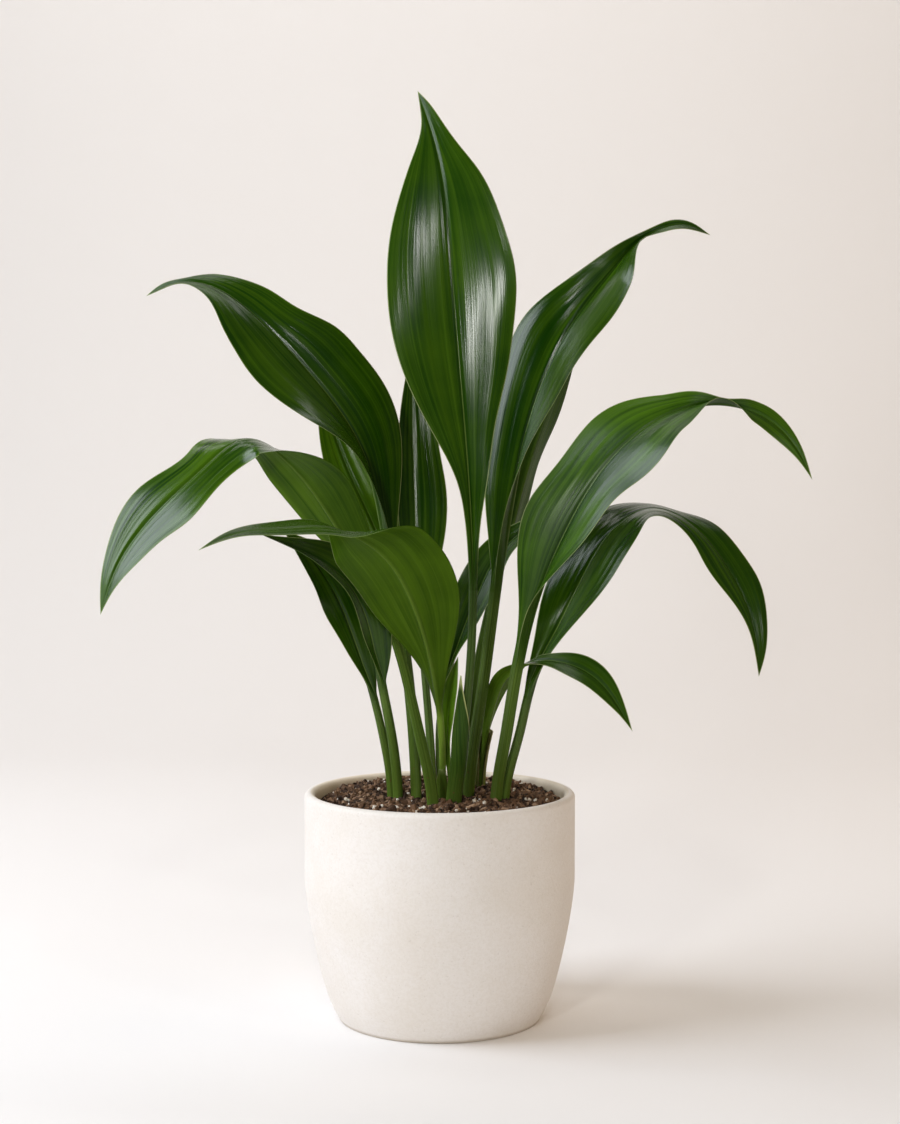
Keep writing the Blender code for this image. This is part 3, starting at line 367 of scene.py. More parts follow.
class Sheath:
    """A papery scale wrapped round the foot of one leaf. Turns run anticlockwise from +X, seen from above."""

    def __init__(self, leaf, top, radius, start, end, lean=((0, (0, 0, 0)),)):
        self.leaf = leaf          # the leaf whose stalk it wraps
        self.top = top            # share of that leaf's length at which it ends
        self.radius = radius      # (share of the sheath, inner radius)
        self.start = start        # (share of the sheath, turn at which the wrap begins)
        self.end = end            # (share of the sheath, turn at which it ends)
        self.lean = lean          # (share of the sheath, how far its middle stands off the stalk's)


SHEATHS = {
    "sheath_tall": Sheath(
        leaf="leaf_tall_centre", top=0.235,
        radius=[(0, 5.0), (0.35, 5.3), (0.7, 6.1), (1, 6.3)],
        start=[(0, 110), (0.5, 120), (0.75, 150), (1, 188)],
        end=[(0, 430), (0.4, 415), (0.65, 350), (0.85, 270), (1, 206)],
        lean=[(0, (0, 0, 0)), (0.4, (0, 0, 0)), (0.7, (-2.2, -0.5, 0)), (1, (-0.5, -0.5, 0))]),
    "sheath_front": Sheath(
        leaf="leaf_front", top=0.155,
        radius=[(0, 3.9), (1, 4.0)],
        start=[(0, 110), (0.6, 150), (1, 240)],
        end=[(0, 430), (0.6, 400), (1, 290)]),
    "sheath_right": Sheath(
        leaf="leaf_small_right", top=0.31,
        radius=[(0, 3.2), (0.6, 3.4), (1, 4.4)],
        start=[(0, -70), (0.6, -60), (1, -20)],
        end=[(0, 250), (0.6, 240), (1, 150)]),
}


def spline(knots, values, at):
    """A smooth curve through every row of values, which sit at the knots, read at the given places."""
    knots = np.array(knots, float)
    values = np.array(values, float)
    count = len(knots)
    step = np.diff(knots)
    slope = np.diff(values, axis=0) / step[:, None]
    matrix = np.eye(count)
    right = np.zeros_like(values)
    for i in range(1, count - 1):
        matrix[i, i - 1:i + 2] = step[i - 1], 2 * (step[i - 1] + step[i]), step[i]
        right[i] = 6 * (slope[i] - slope[i - 1])
    bend = np.linalg.solve(matrix, right)
    i = np.clip(np.searchsorted(knots, at) - 1, 0, count - 2)
    size = step[i][:, None]
    p = (at - knots[i])[:, None] / size
    q = 1 - p
    return (q * values[i] + p * values[i + 1]
            + ((q ** 3 - q) * bend[i] + (p ** 3 - p) * bend[i + 1]) * size ** 2 / 6)


def keyed(keys, at):
    """Values that pass through (place, value) keys and never overshoot between two of them."""
    place = np.array([k for k, _ in keys], float)
    value = np.array([v for _, v in keys], float).reshape(len(keys), -1)
    if len(keys) == 1:
        return np.repeat(value, len(at), axis=0)
    at = np.clip(at, place[0], place[-1])
    step = np.diff(place)[:, None]
    slope = np.diff(value, axis=0) / step
    tangent = np.vstack([slope[:1], np.zeros_like(slope[1:]), slope[-1:]])
    same = slope[:-1] * slope[1:] > 0
    early = 2 * step[1:] + step[:-1]
    late = step[1:] + 2 * step[:-1]
    before = np.where(same, slope[:-1], 1)
    after = np.where(same, slope[1:], 1)
    tangent[1:-1] = np.where(same, (early + late) / (early / before + late / after), 0)
    i = np.clip(np.searchsorted(place, at) - 1, 0, len(keys) - 2)
    t = ((at - place[i]) / step[i, 0])[:, None]
    return (value[i] * (1 + 2 * t) * (1 - t) ** 2 + value[i + 1] * t ** 2 * (3 - 2 * t)
            + step[i] * (tangent[i] * t * (1 - t) ** 2 - tangent[i + 1] * t ** 2 * (1 - t)))


def unit(vectors):
    return vectors / np.linalg.norm(vectors, axis=-1, keepdims=True)


def along(path, at):
    """Points at the given shares of the length of a smooth curve through the path, and the way it runs."""
    path = np.array(path, float)
    chords = np.concatenate([[0], np.cumsum(np.linalg.norm(np.diff(path, axis=0), axis=1))])
    fine = spline(chords, path, np.linspace(0, chords[-1], 600))
    length = np.concatenate([[0], np.cumsum(np.linalg.norm(np.diff(fine, axis=0), axis=1))])
    runs = unit(np.gradient(fine, length, axis=0))
    points = [np.interp(at * length[-1], length, fine[:, k]) for k in range(3)]
    tangents = [np.interp(at * length[-1], length, runs[:, k]) for k in range(3)]
    return np.stack(points, 1), unit(np.stack(tangents, 1))


def stance(leaf, u):
    """The midrib's places at shares u of its length, the way that it runs and the way that its face looks."""
    centre, run = along(leaf.path, u)
    up = keyed(leaf.faces, u)
    return centre, run, unit(up - (up * run).sum(1, keepdims=True) * run)


def half_widths(leaf, u):
    """Widths left and right of the midrib, and the share of the blade, at shares u of the length."""
    share = np.clip((u - leaf.blade) / (1 - leaf.blade), 0, 1)
    rows = np.array([(0, leaf.stalk, leaf.stalk)] + leaf.outline + [(1, 0, 0)], float)
    widths = np.maximum(spline(rows[:, 0], rows[:, 1:], share), THINNEST)
    return np.where(u[:, None] < leaf.blade, leaf.stalk, widths), share


def noise(points, seed, octaves=1):
    """Smooth noise from -1 to 1: the sum of a dozen sine waves in random directions, one octave or more."""
    random = np.random.default_rng(seed)
    points = np.asarray(points, float)
    total = np.zeros(points.shape[:-1])
    for octave in range(octaves):
        ways = random.normal(size=(12, points.shape[-1]))
        starts = random.uniform(0, 2 * pi, 12)
        total += np.sin(points @ ways.T * 2 ** octave + starts).sum(-1) / 2 ** octave
    return total / 12


def ease(value, low, high):
    """0 below low, 1 above high, and a smooth step between."""
    t = np.clip((value - low) / (high - low), 0, 1)
    return t * t * (3 - 2 * t)


def half_steps():
    """Places from the midrib to the margin: close together at both, for the groove and the thin edge."""
    steps = np.linspace(0, 1, HALF_STEPS + 1) ** 1.3
    return np.concatenate([steps[:-1] * LAST_STEP, [LAST_STEP, 1.0]])


def leaf_body(leaf, seed):
    """Rings round a leaf, and the facts that its finish reads at every point.

    Across the leaf, tau runs from -1 at the left margin over 0 at the midrib to 1 at the right one. Each
    half leaves the midrib at the fold angle and bends by the curl. Long pleats of two widths and a slow
    wave of the margins lift it, and a narrow groove follows the midrib. The under face is the same
    surface moved along its normal by the blade's thickness and the keel, or half an ellipse on the stalk.
    """
    u = np.linspace(0, 1, STATIONS + 1)
    centre, run, up = stance(leaf, u)
    across = np.cross(run, up)
    widths, share = half_widths(leaf, u)
    share = share[:, None]
    fold = np.radians(keyed(leaf.fold, u))
    curl = np.radians(keyed(leaf.curl, u))
    half = half_steps()
    top = np.concatenate([-half[:0:-1], half])
    tau = np.concatenate([top, top[-2:0:-1]])[None, :]
    under = np.arange(tau.size)[None, :] >= top.size
    reach = np.abs(tau)
    side_of = np.sign(tau)
    width = np.where(tau < 0, widths[:, :1], widths[:, 1:])
    chord = reach * np.sinc(curl * reach / (2 * pi))
    side = side_of * chord * np.cos(fold + curl * reach / 2) * width
    rise = chord * np.sin(fold + curl * reach / 2) * width
    # lift of the blade from its plain surface
    random = np.random.default_rng(seed)
    blade = ease(share, 0.0, 0.12) * ease(1 - share, 0.0, 0.1)
    broad = np.minimum(1, width / FULL_RELIEF)
    slow, quick = random.uniform(0, 2 * pi, 6)[4:]
    ridges = np.stack(np.broadcast_arrays(side_of * 3 + tau * 8, share * 2.5), -1)
    pleat = noise(ridges, seed) + 0.5 * noise(ridges * (2.3, 1.5), seed + 1)
    wave = np.sin(2 * pi * (1.6 * share + 0.3 * side_of) + slow)
    wave = wave + 0.6 * np.sin(2 * pi * (3.1 * share - 0.2 * side_of) + quick)
    distance = reach * width
    groove = (-GROOVE_DEPTH * np.exp(-(distance / GROOVE_WIDTH) ** 2)
              + RIM_HEIGHT * np.exp(-((distance - RIM_PLACE) / RIM_WIDTH) ** 2))
    lift = blade * broad * (PLEAT_HEIGHT * pleat * ease(reach, 0.02, 0.2) * (1 - 0.6 * ease(reach, 0.85, 1))
                            + WAVE_HEIGHT * wave * reach ** 2)
    lift = lift + groove * blade * np.where(under, 0, 1)
    lean = side_of * (fold + curl * reach) * ease(distance, 0, 2.5)
    keel = (KEEL_DEPTH * (1 - share) + 0.5) * np.exp(-(distance / KEEL_WIDTH) ** 2)
    thin = np.minimum(1, widths.min(1, keepdims=True) / FULL_THICKNESS)
    edge = np.sqrt(np.clip(1 - reach ** 24, 0, 1))
    depth = np.where(under, thin * (BLADE_THICKNESS * edge + keel), 0)
    blade_side = side - (lift - depth) * np.sin(lean)
    blade_rise = rise + (lift - depth) * np.cos(lean)
    # the stalk's under side
    turn = tau * pi / 2
    edge_side = np.where(tau < 0, side[:, :1], -side[:, top.size - 1:top.size])
    edge_rise = np.where(tau < 0, rise[:, :1], rise[:, top.size - 1:top.size])
    stalk_side = -edge_side * np.sin(turn)
    stalk_rise = edge_rise * (1 - np.cos(turn)) - STALK_DEPTH * leaf.stalk * np.cos(turn)
    roundness = np.clip(1 - share / STALK_FADE, 0, 1)
    blade_rise = blade_rise + STALK_CROWN * leaf.stalk * np.where(under, 0, (1 - reach ** 2) * roundness)
    roundness = np.where(under, roundness ** 1.5, 0)
    ring_side = blade_side + (stalk_side - blade_side) * roundness
    ring_rise = blade_rise + (stalk_rise - blade_rise) * roundness
    points = centre[:, None] + ring_side[..., None] * across[:, None] + ring_rise[..., None] * up[:, None]
    stalk_share = (u[:, None] - leaf.blade) / leaf.blade
    place = np.where(share > 0, share, np.minimum(stalk_share, 0)) + 0 * tau
    facts = {"across": tau + 0 * distance, "place": place, "from_rib": distance,
             "from_edge": (1 - reach) * width}
    return points, facts, under[0]


def ring_faces(count, sides):
    """Quads between rings and a cap on each end, as lists of corners, ring after ring."""
    corner = np.arange(count * sides).reshape(count, sides)
    after = np.roll(corner, -1, axis=1)
    quads = np.stack([corner[:-1], corner[1:], after[1:], after[:-1]], -1).reshape(-1, 4)
    return quads, [corner[0].tolist(), corner[-1][::-1].tolist()]


def grid_faces(rows, columns):
    """Quads of an open grid of points."""
    corner = np.arange(rows * columns).reshape(rows, columns)
    return np.stack([corner[:-1, :-1], corner[1:, :-1], corner[1:, 1:], corner[:-1, 1:]],
                    -1).reshape(-1, 4)


def outward(points, faces):
    """The faces, turned round if the body that they close would have a negative volume."""
    first, second, third, fourth = points[faces].transpose(1, 0, 2)
    normals = np.cross(second - first, third - first) + np.cross(third - first, fourth - first)
    right = (normals * first).sum() > 0
    return faces if right else faces[:, ::-1], right


def add_object(name, data):
    """A new object in the scene."""
    thing = bpy.data.objects.new(name, data)
    bpy.context.collection.objects.link(thing)
    return thing


def add_piece(name, points, quads, caps, materials, stands_for=(), facts=None, smooth=True,
              which=None):
    """A piece with its place in its mesh. facts are numbers kept at each point for its finish to read,
    and which gives the material of each quad."""
    points = points.reshape(-1, 3) * MM
    quads, kept = outward(points, quads)
    caps = caps if kept else [cap[::-1] for cap in caps]
    mesh = bpy.data.meshes.new(name)
    mesh.from_pydata(points.tolist(), [], quads.tolist() + caps)
    for fact, values in (facts or {}).items():
        attribute = mesh.attributes.new(fact, "FLOAT", "POINT")
        attribute.data.foreach_set("value", np.ascontiguousarray(values, np.float32).ravel())
    for material in materials:
        mesh.materials.append(material)
    if which is not None:
        chosen = np.concatenate([which, np.zeros(len(caps), int)]).astype(np.int32)
        mesh.polygons.foreach_set("material_index", chosen)
    mesh.polygons.foreach_set("use_smooth", np.full(len(mesh.polygons), smooth))
    mesh.update()
    piece = add_object(name, mesh)
    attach(piece, "root")
    if stands_for:
        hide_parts(*stands_for)
    return piece


def make_leaf(name, leaf, seed, upper, under):
    points, facts, low = leaf_body(leaf, seed)
    quads, caps = ring_faces(len(points), points.shape[1])
    which = np.tile(low.astype(int), len(points) - 1)
    slot = "young_leaf_green" if name == "leaf_young" else "leaf_green"
    return add_piece(name + "_grown", points, quads, caps, [upper, under], [name], facts, which=which)


def stalk_middle(leaf, u):
    """The way from the bottom of a stalk's channel to the stalk's middle."""
    up = stance(leaf, u)[2]
    fold = np.radians(keyed(leaf.fold, u))
    return up * (leaf.stalk * (np.sin(fold) - STALK_DEPTH) / 2)


def make_sheath(name, sheath, material):
    """An arc of a circle round a stalk, carried up it while the arc opens, leans off and narrows to a tip.

    The ring goes along the outer face and back along the inner one, thin and rounded at both edges.
    """
    leaf = LEAVES[sheath.leaf]
    u = np.linspace(0, 1, SHEATH_STATIONS)
    share = SHEATH_LIFT + u * (sheath.top - SHEATH_LIFT)
    centre, run = along(leaf.path, share)
    centre = centre + keyed(sheath.lean, u) + stalk_middle(leaf, share)
    across = unit(np.array([1, 0, 0]) - run[:, :1] * run)
    up = np.cross(run, across)
    start = np.radians(keyed(sheath.start, u))
    end = np.radians(keyed(sheath.end, u))
    part = np.linspace(0, 1, SHEATH_STEPS)
    loop = np.concatenate([part, part[::-1]])[None, :]
    angle = start + (end - start) * loop
    outside = (np.arange(loop.size) < part.size)[None, :]
    edge = np.minimum(loop, 1 - loop) * (end - start) * keyed(sheath.radius, u)
    ridge = sum(high * np.cos(angle * count + start_at) for high, count, start_at in SHEATH_RIDGES)
    thickness = SHEATH_THICKNESS * np.sqrt(np.clip(edge / 0.8, 0.02, 1)) * (1 - 0.5 * u[:, None])
    radius = keyed(sheath.radius, u) + np.where(outside, thickness + ridge * np.clip(edge, 0, 1), 0)
    points = (centre[:, None] + (radius * np.cos(angle))[..., None] * across[:, None]
              + (radius * np.sin(angle))[..., None] * up[:, None])
    along_it = np.repeat(u[:, None], loop.size, 1)
    facts = {"from_edge": np.minimum(edge, (1 - along_it) * 14), "place": along_it,
             "across": np.repeat(loop, len(u), 0)}
    quads, caps = ring_faces(len(u), loop.size)
    return add_piece(name + "_grown", points, quads, caps, [material], [name], facts)


def wall_radius(height):
    """Outer radius of the pot: upright above the shoulder, drawn in below it."""
    depth = np.clip((SHOULDER_HEIGHT - height) / SHOULDER_HEIGHT, 0, 1)
    return POT_RADIUS - DRAW_IN * depth ** DRAW_POWER - FOOT_DRAW_IN * depth ** FOOT_POWER


def turned(profile, sectors):
    """A profile of (radius, height) rows carried round the axis: a ring of points for each row."""
    angle = np.linspace(0, 2 * pi, sectors, endpoint=False)[None, :]
    radius = profile[:, :1]
    height = np.repeat(profile[:, 1:], sectors, 1)
    return np.stack([radius * np.cos(angle), radius * np.sin(angle), height], -1)


def arc(middle, radius, start, end, count):
    """Points of an arc of a circle in the plane of radius and height, in degrees."""
    angle = np.radians(np.linspace(start, end, count))
    return np.stack([middle[0] + radius * np.cos(angle), middle[1] + radius * np.sin(angle)], 1)


def make_pot(material):
    """The base, a small round at its edge, the drawn-in wall, the rounded lip, the inner wall and floor."""
    lip = POT_WALL / 2
    foot = wall_radius(EDGE_ROUND) - EDGE_ROUND
    outer = np.linspace(2, POT_HEIGHT - lip, 70)
    inner = np.linspace(POT_HEIGHT - lip, POT_FLOOR + CORNER_ROUND, 50)
    corner = wall_radius(POT_FLOOR + CORNER_ROUND) - POT_WALL - CORNER_ROUND
    base = np.stack([np.linspace(0.01, foot, 12), np.zeros(12)], 1)
    floor = np.stack([np.linspace(corner, 0.01, 12), np.full(12, POT_FLOOR)], 1)
    profile = np.concatenate([
        base, arc((foot, EDGE_ROUND), EDGE_ROUND, -90, 0, 6)[1:-1],
        np.stack([wall_radius(outer), outer], 1),
        arc((POT_RADIUS - lip, POT_HEIGHT - lip), lip, 0, 180, 24)[1:-1],
        np.stack([wall_radius(inner) - POT_WALL, inner], 1),
        arc((corner, POT_FLOOR + CORNER_ROUND), CORNER_ROUND, 0, -90, 10)[1:-1], floor])
    points = turned(profile, POT_SECTORS)
    quads, caps = ring_faces(len(points), POT_SECTORS)
    past_lip = np.arange(len(profile)) > len(base) + len(outer) + 15
    inside = np.repeat(past_lip, POT_SECTORS)
    return add_piece("pot_body", points, quads, caps, [material], ["pot"], {"inside": inside})


def mound_height(x, y):
    """The level of the mix at a place: a low mound that rises to the back, with lumps of two sizes."""
    radius = np.hypot(x, y)
    edge = POT_RADIUS - POT_WALL
    place = np.stack([x, y], -1)
    lumps = sum(high * noise(place / wide, seed) for high, wide, seed in LUMPS)
    mound = (SOIL_CROWN - SOIL_EDGE) * (1 - (radius / edge) ** 3)
    return SOIL_EDGE + mound + BACK_RISE * ease(y, BACK_RISE_FROM, BACK_RISE_TO) + lumps


def make_mix(material):
    """The mound: rings out from the middle over the lumpy top, down the wall and back under."""
    edge = POT_RADIUS - POT_WALL - SOIL_GAP
    out = np.linspace(0.02, 1, 130)[:, None] * edge
    angle = np.linspace(0, 2 * pi, 300, endpoint=False)[None, :]
    x = out * np.cos(angle)
    y = out * np.sin(angle)
    top = np.stack([x, y, mound_height(x, y) + 0.5 * noise(np.stack([x, y], -1) / 1.3, 6)], -1)
    wall = np.linspace(1, 0, 8)[:, None] ** 0.7
    bottom = POT_FLOOR + 12
    level = bottom + wall[1:] * (SOIL_EDGE - 6 - bottom)
    skirt = turned(np.hstack([wall_radius(level) - POT_WALL - SOIL_GAP, level]), angle.size)
    points = np.concatenate([top, skirt])
    quads, caps = ring_faces(len(points), angle.size)
    return add_piece("mix_mound", points, quads, caps, [material], ["potting_mix"])


def stalk_rooms():
    """The middle and reach of every stalk or sheath where it leaves the mix."""
    middles, reaches = [], []
    sheathed = {sheath.leaf: sheath for sheath in SHEATHS.values()}
    for name, leaf in LEAVES.items():
        points = along(leaf.path, np.linspace(0, 0.4, 200))[0]
        at = points[np.argmax(points[:, 2] > SOIL_CROWN)]
        middles.append(at[:2])
        reaches.append(sheathed[name].radius[0][1] + 1 if name in sheathed else leaf.stalk)
    return np.array(middles), np.array(reaches)


def scattered(count, seed, room=GRAIN_ROOM):
    """Random places on the mix that keep clear of the stalks and of the wall."""
    random = np.random.default_rng(seed)
    middles, reaches = stalk_rooms()
    radius = (POT_RADIUS - POT_WALL - WALL_MARGIN - room) * np.sqrt(random.uniform(0, 1, count * 2))
    angle = random.uniform(0, 2 * pi, count * 2)
    place = np.stack([radius * np.cos(angle), radius * np.sin(angle)], 1)
    far = np.linalg.norm(place[:, None] - middles[None], axis=-1) > reaches + room
    return place[far.all(1)][:count]


def turns(yaw, pitch, roll):
    """Turning matrices from arrays of three angles."""
    def about(axis, angle):
        matrix = np.zeros((len(angle), 3, 3))
        a, b = [k for k in range(3) if k != axis]
        matrix[:, axis, axis] = 1
        matrix[:, a, a] = matrix[:, b, b] = np.cos(angle)
        matrix[:, a, b] = -np.sin(angle)
        matrix[:, b, a] = np.sin(angle)
        return matrix
    return about(2, yaw) @ about(1, pitch) @ about(0, roll)


def grains(name, material, places, sizes, seed, rows, columns, boxiness, rough, lift, tilt=0.6, smooth=True):
    """Many small bodies in one piece: a rounded box or pebble, stretched, dented, turned and set down.

    The shape is a ball in latitude and longitude whose sines and cosines are raised to the boxiness, so
    that small powers give flat faces. rough is the depth of the dents, tilt the usual lean in radians and
    lift the share of its height by which a grain's middle lies above the mix. Each has its own tone.
    """
    random = np.random.default_rng(seed)
    count = len(places)
    latitude = np.linspace(-pi / 2, pi / 2, rows + 2)[1:-1][:, None]
    longitude = np.linspace(0, 2 * pi, columns, endpoint=False)[None, :]

    def bent(value):
        return np.sign(value) * np.abs(value) ** boxiness
    shape = np.stack([bent(np.cos(latitude)) * bent(np.cos(longitude)),
                      bent(np.cos(latitude)) * bent(np.sin(longitude)),
                      bent(np.sin(latitude)) * np.ones_like(longitude)], -1).reshape(-1, 3)
    dents = noise(shape[None] * 1.7 + random.uniform(-40, 40, (count, 1, 3)), seed)
    body = shape[None] * (1 + rough * dents[..., None]) * sizes[:, None] / 2
    taper = random.uniform(-0.35, 0.35, (count, 1))
    body[..., 1] *= 1 + taper * shape[None, :, 0]
    body[..., 2] += random.uniform(-0.15, 0.15, (count, 1)) * sizes[:, :1] * (shape[None, :, 0] ** 2 - 0.5)
    turn = turns(random.uniform(0, 2 * pi, count), random.normal(0, tilt, count),
                 random.normal(0, tilt * 1.6, count))
    body = np.einsum("nij,nkj->nki", turn, body)
    x, y = places[:, 0], places[:, 1]
    middle = np.stack([x, y, mound_height(x, y) + lift * sizes[:, 2]], -1)
    points = body + middle[:, None]
    quads, caps = ring_faces(rows, columns)
    start = np.arange(count)[:, None, None] * rows * columns
    quads = (quads[None] + start).reshape(-1, 4)
    caps = (np.array(caps)[None] + start).reshape(-1, columns).tolist()
    tone = np.repeat(random.uniform(0, 1, count), rows * columns)
    return add_piece(name, points, quads, caps, [material], facts={"tone": tone}, smooth=smooth)


def make_bark(material):
    """Angular crumbs of bark and peat, each longer than it is wide and wider than it is high."""
    random = np.random.default_rng(11)
    places = scattered(CRUMBS, 12)
    count = len(places)
    sizes = np.stack([random.lognormal(usual, spread, count) for usual, spread in CRUMB_SIZES], 1)
    sizes = np.minimum(sizes, CRUMB_LIMITS)
    return grains("bark_chips", material, places, sizes, seed=13, rows=4, columns=7, boxiness=0.45,
                  rough=0.9, lift=0.15, smooth=False)


def make_perlite(material):
    """Small rounded grains of perlite on and between the crumbs."""
    random = np.random.default_rng(21)
    places = scattered(PERLITE_GRAINS, 22)
    size = np.minimum(random.lognormal(0.62, 0.35, len(places)), PERLITE_LIMIT)
    sizes = size[:, None] * random.uniform(0.65, 1, (len(size), 3))
    return grains("perlite_grains", material, places, sizes, seed=23, rows=6, columns=9, boxiness=0.7,
                  rough=0.8, lift=0.85)


class Value:
    """A number or colour in a material. Sums and products of two of them add the nodes that work them out."""

    def __init__(self, finish, socket):
        self.finish = finish
        self.socket = socket

    def __add__(self, other):
        return self.finish.maths("ADD", self, other)

    def __sub__(self, other):
        return self.finish.maths("SUBTRACT", self, other)

    def __rsub__(self, other):
        return self.finish.maths("SUBTRACT", other, self)

    def __mul__(self, other):
        return self.finish.maths("MULTIPLY", self, other)

    __radd__ = __add__
    __rmul__ = __mul__


class Finish:
    """A material and the means to build its nodes."""

    def __init__(self, name):
        self.material = bpy.data.materials.new(name)
        self.material.use_nodes = True
        self.tree = self.material.node_tree
        self.surface = self.tree.nodes["Principled BSDF"]

    def node(self, kind, settings, sockets, output=0):
        """A node of a kind: its settings are made first, then its sockets are filled, by name or number."""
        node = self.tree.nodes.new(kind)
        for setting, value in settings.items():
            setattr(node, setting, value)
        for key, value in sockets.items():
            self.fill(node.inputs[key], value)
        return Value(self, node.outputs[output])

    def fill(self, socket, value):
        """Links a Value to a socket, or sets a plain number or colour on it."""
        if isinstance(value, Value):
            self.tree.links.new(value.socket, socket)
        elif isinstance(value, tuple) and socket.type == "RGBA":
            socket.default_value = (*value, 1)
        else:
            socket.default_value = value

    def maths(self, operation, a, b):
        return self.node("ShaderNodeMath", {"operation": operation}, {0: a, 1: b})

    def step(self, value, low, high):
        """0 below low, 1 above high and a smooth step between. low may be the higher one, to fall."""
        return self.node("ShaderNodeMapRange", {"interpolation_type": "SMOOTHSTEP"},
                         {"Value": value, "From Min": low, "From Max": high})

    def mix(self, share, a, b):
        """A colour between two."""
        return self.node("ShaderNodeMix", {"data_type": "RGBA"}, {0: share, 6: a, 7: b}, output=2)

    def fact(self, name):
        """A number kept at every point of the piece."""
        return self.node("ShaderNodeAttribute", {"attribute_name": name}, {}, output=2)

    def place(self):
        """The place on the piece, in metres."""
        return self.node("ShaderNodeTexCoord", {}, {}, output=3)

    def height(self):
        return self.node("ShaderNodeSeparateXYZ", {}, {"Vector": self.place()}, output=2)

    def at(self, x, y, z=0.0):
        return self.node("ShaderNodeCombineXYZ", {}, {"X": x, "Y": y, "Z": z})

    def noise(self, where, scale, detail=2.0, roughness=0.5):
        return self.node("ShaderNodeTexNoise", {}, {"Vector": where, "Scale": scale, "Detail": detail,
                                                    "Roughness": roughness})

    def bump(self, height, distance, strength):
        return self.node("ShaderNodeBump", {}, {"Height": height, "Distance": distance,
                                                "Strength": strength})

    def done(self, colour, roughness, specular=0.5, bumps=None):
        """The material, once its surface has its colour, roughness, specular level and bumps."""
        sockets = {"Base Color": colour, "Roughness": roughness, "Specular IOR Level": specular}
        if bumps:
            sockets["Normal"] = bumps
        for name, value in sockets.items():
            self.fill(self.surface.inputs[name], value)
        return self.material


def leaf_streaks(finish, seed, place):
    """Noise drawn out along the leaf at three widths: broad bands, veins and fine lines, each 0 to 1."""
    across = finish.fact("across")
    broad = finish.noise(finish.at(across * 5.0, place * 0.9, seed), 1.0, 3.0, 0.55)
    veins = finish.noise(finish.at(across * 21.0, place * 1.1, seed + 3.1), 1.0, 2.0, 0.5)
    lines = finish.noise(finish.at(across * 75.0, place * 2.2, seed + 7.7), 1.0, 1.0, 0.5)
    return broad, veins, lines


def leaf_upper(name, seed, tones):
    """The glossy upper face: green bands along the veins, a pale margin, a light midrib and a plain stalk."""
    finish = Finish(name)
    place = finish.fact("place")
    broad, veins, lines = leaf_streaks(finish, seed, place)
    blotch = finish.noise(finish.place(), 22.0, 3.0)
    tone = finish.step(broad * 0.55 + veins * 0.25 + blotch * 0.3, 0.38, 0.72)
    colour = finish.mix(tone, tones["deep"], tones["fresh"])
    light = finish.step(lines, 0.55, 0.75) * 0.22 + finish.step(veins, 0.58, 0.72) * 0.16
    colour = finish.mix(light, colour, LEAF_VEIN)
    colour = stalk_colour(finish, colour, place, lines, blotch, tones["stalk_light"])
    rib = finish.step(finish.fact("from_rib"), 0.7, 0.3)
    rib_fade = finish.step(place, 0.75, 0.1) * tones["rib_light"] + 0.05
    rib_start = finish.step(place, -0.02, 0.1)
    colour = finish.mix(rib * rib_fade * rib_start, colour, RIB_GREEN)
    shade = finish.step(finish.fact("from_rib"), 2.6, 0.9) * (1 - rib) * rib_start
    colour = finish.mix(shade * 0.35, colour, tones["deep"])
    edge = finish.step(finish.fact("from_edge"), 0.75, 0.3) * rib_start
    colour = finish.mix(edge * 0.75, colour, MARGIN_GREEN)
    relief = veins * 0.6 + lines * 0.35
    stalk = finish.step(place, 0.03, -0.1)
    rough = tones["roughness"] + (broad - 0.5) * 0.12 + edge * 0.2 + stalk * 0.2
    return finish.done(colour, rough, specular=0.25, bumps=finish.bump(relief, 0.0006, 0.3))


def stalk_colour(finish, colour, place, lines, blotch, light):
    """Below the blade: smooth green with faint long lines, paler at the foot, with a few brown specks. light
    under 0 darkens it as painted shade; over 0 it pales it, partly as painted light.
    """
    stalk = finish.mix(finish.step(lines, 0.3, 0.65) * (1 + min(light, 0)), STALK_DEEP, STALK_FRESH)
    stalk = finish.mix(max(light, 0), stalk, STALK_LIGHT)
    height = finish.height()
    foot = finish.step(height, 0.215, 0.165)
    stalk = finish.mix(foot * 0.65, stalk, FOOT_GREEN)
    specks = finish.step(finish.noise(finish.place(), 420.0, 2.0), 0.66, 0.72)
    stalk = finish.mix(specks * finish.step(height, 0.2, 0.168) * 0.7, stalk, SPECK_BROWN)
    share = finish.step(place + (blotch - 0.5) * 0.1, 0.05, -0.12)
    return finish.mix(share, colour, stalk)


def leaf_under(name, seed, tones):
    """The under face: lighter and duller, with fine raised veins and a pale keel."""
    finish = Finish(name)
    place = finish.fact("place")
    broad, veins, lines = leaf_streaks(finish, seed, place)
    blotch = finish.noise(finish.place(), 18.0, 3.0)
    tone = finish.step(broad * 0.5 + blotch * 0.35 + veins * 0.2, 0.35, 0.72)
    colour = finish.mix(tone, tones["under_deep"], tones["under_fresh"])
    light = finish.step(lines, 0.5, 0.72) * 0.3 + finish.step(veins, 0.58, 0.7) * 0.2
    colour = finish.mix(light, colour, UNDER_VEIN)
    colour = stalk_colour(finish, colour, place, lines, blotch, tones["stalk_light"])
    rib = finish.step(finish.fact("from_rib"), 1.4, 0.5)
    rib_fade = finish.step(place, 1.05, 0.2) * finish.step(place, -0.05, 0.12)
    colour = finish.mix(rib * rib_fade * 0.3, colour, RIB_GREEN)
    relief = veins * 0.5 + lines * 0.4
    rough = 0.46 + (broad - 0.5) * 0.1
    return finish.done(colour, rough, specular=0.05, bumps=finish.bump(relief, 0.0006, 0.6))


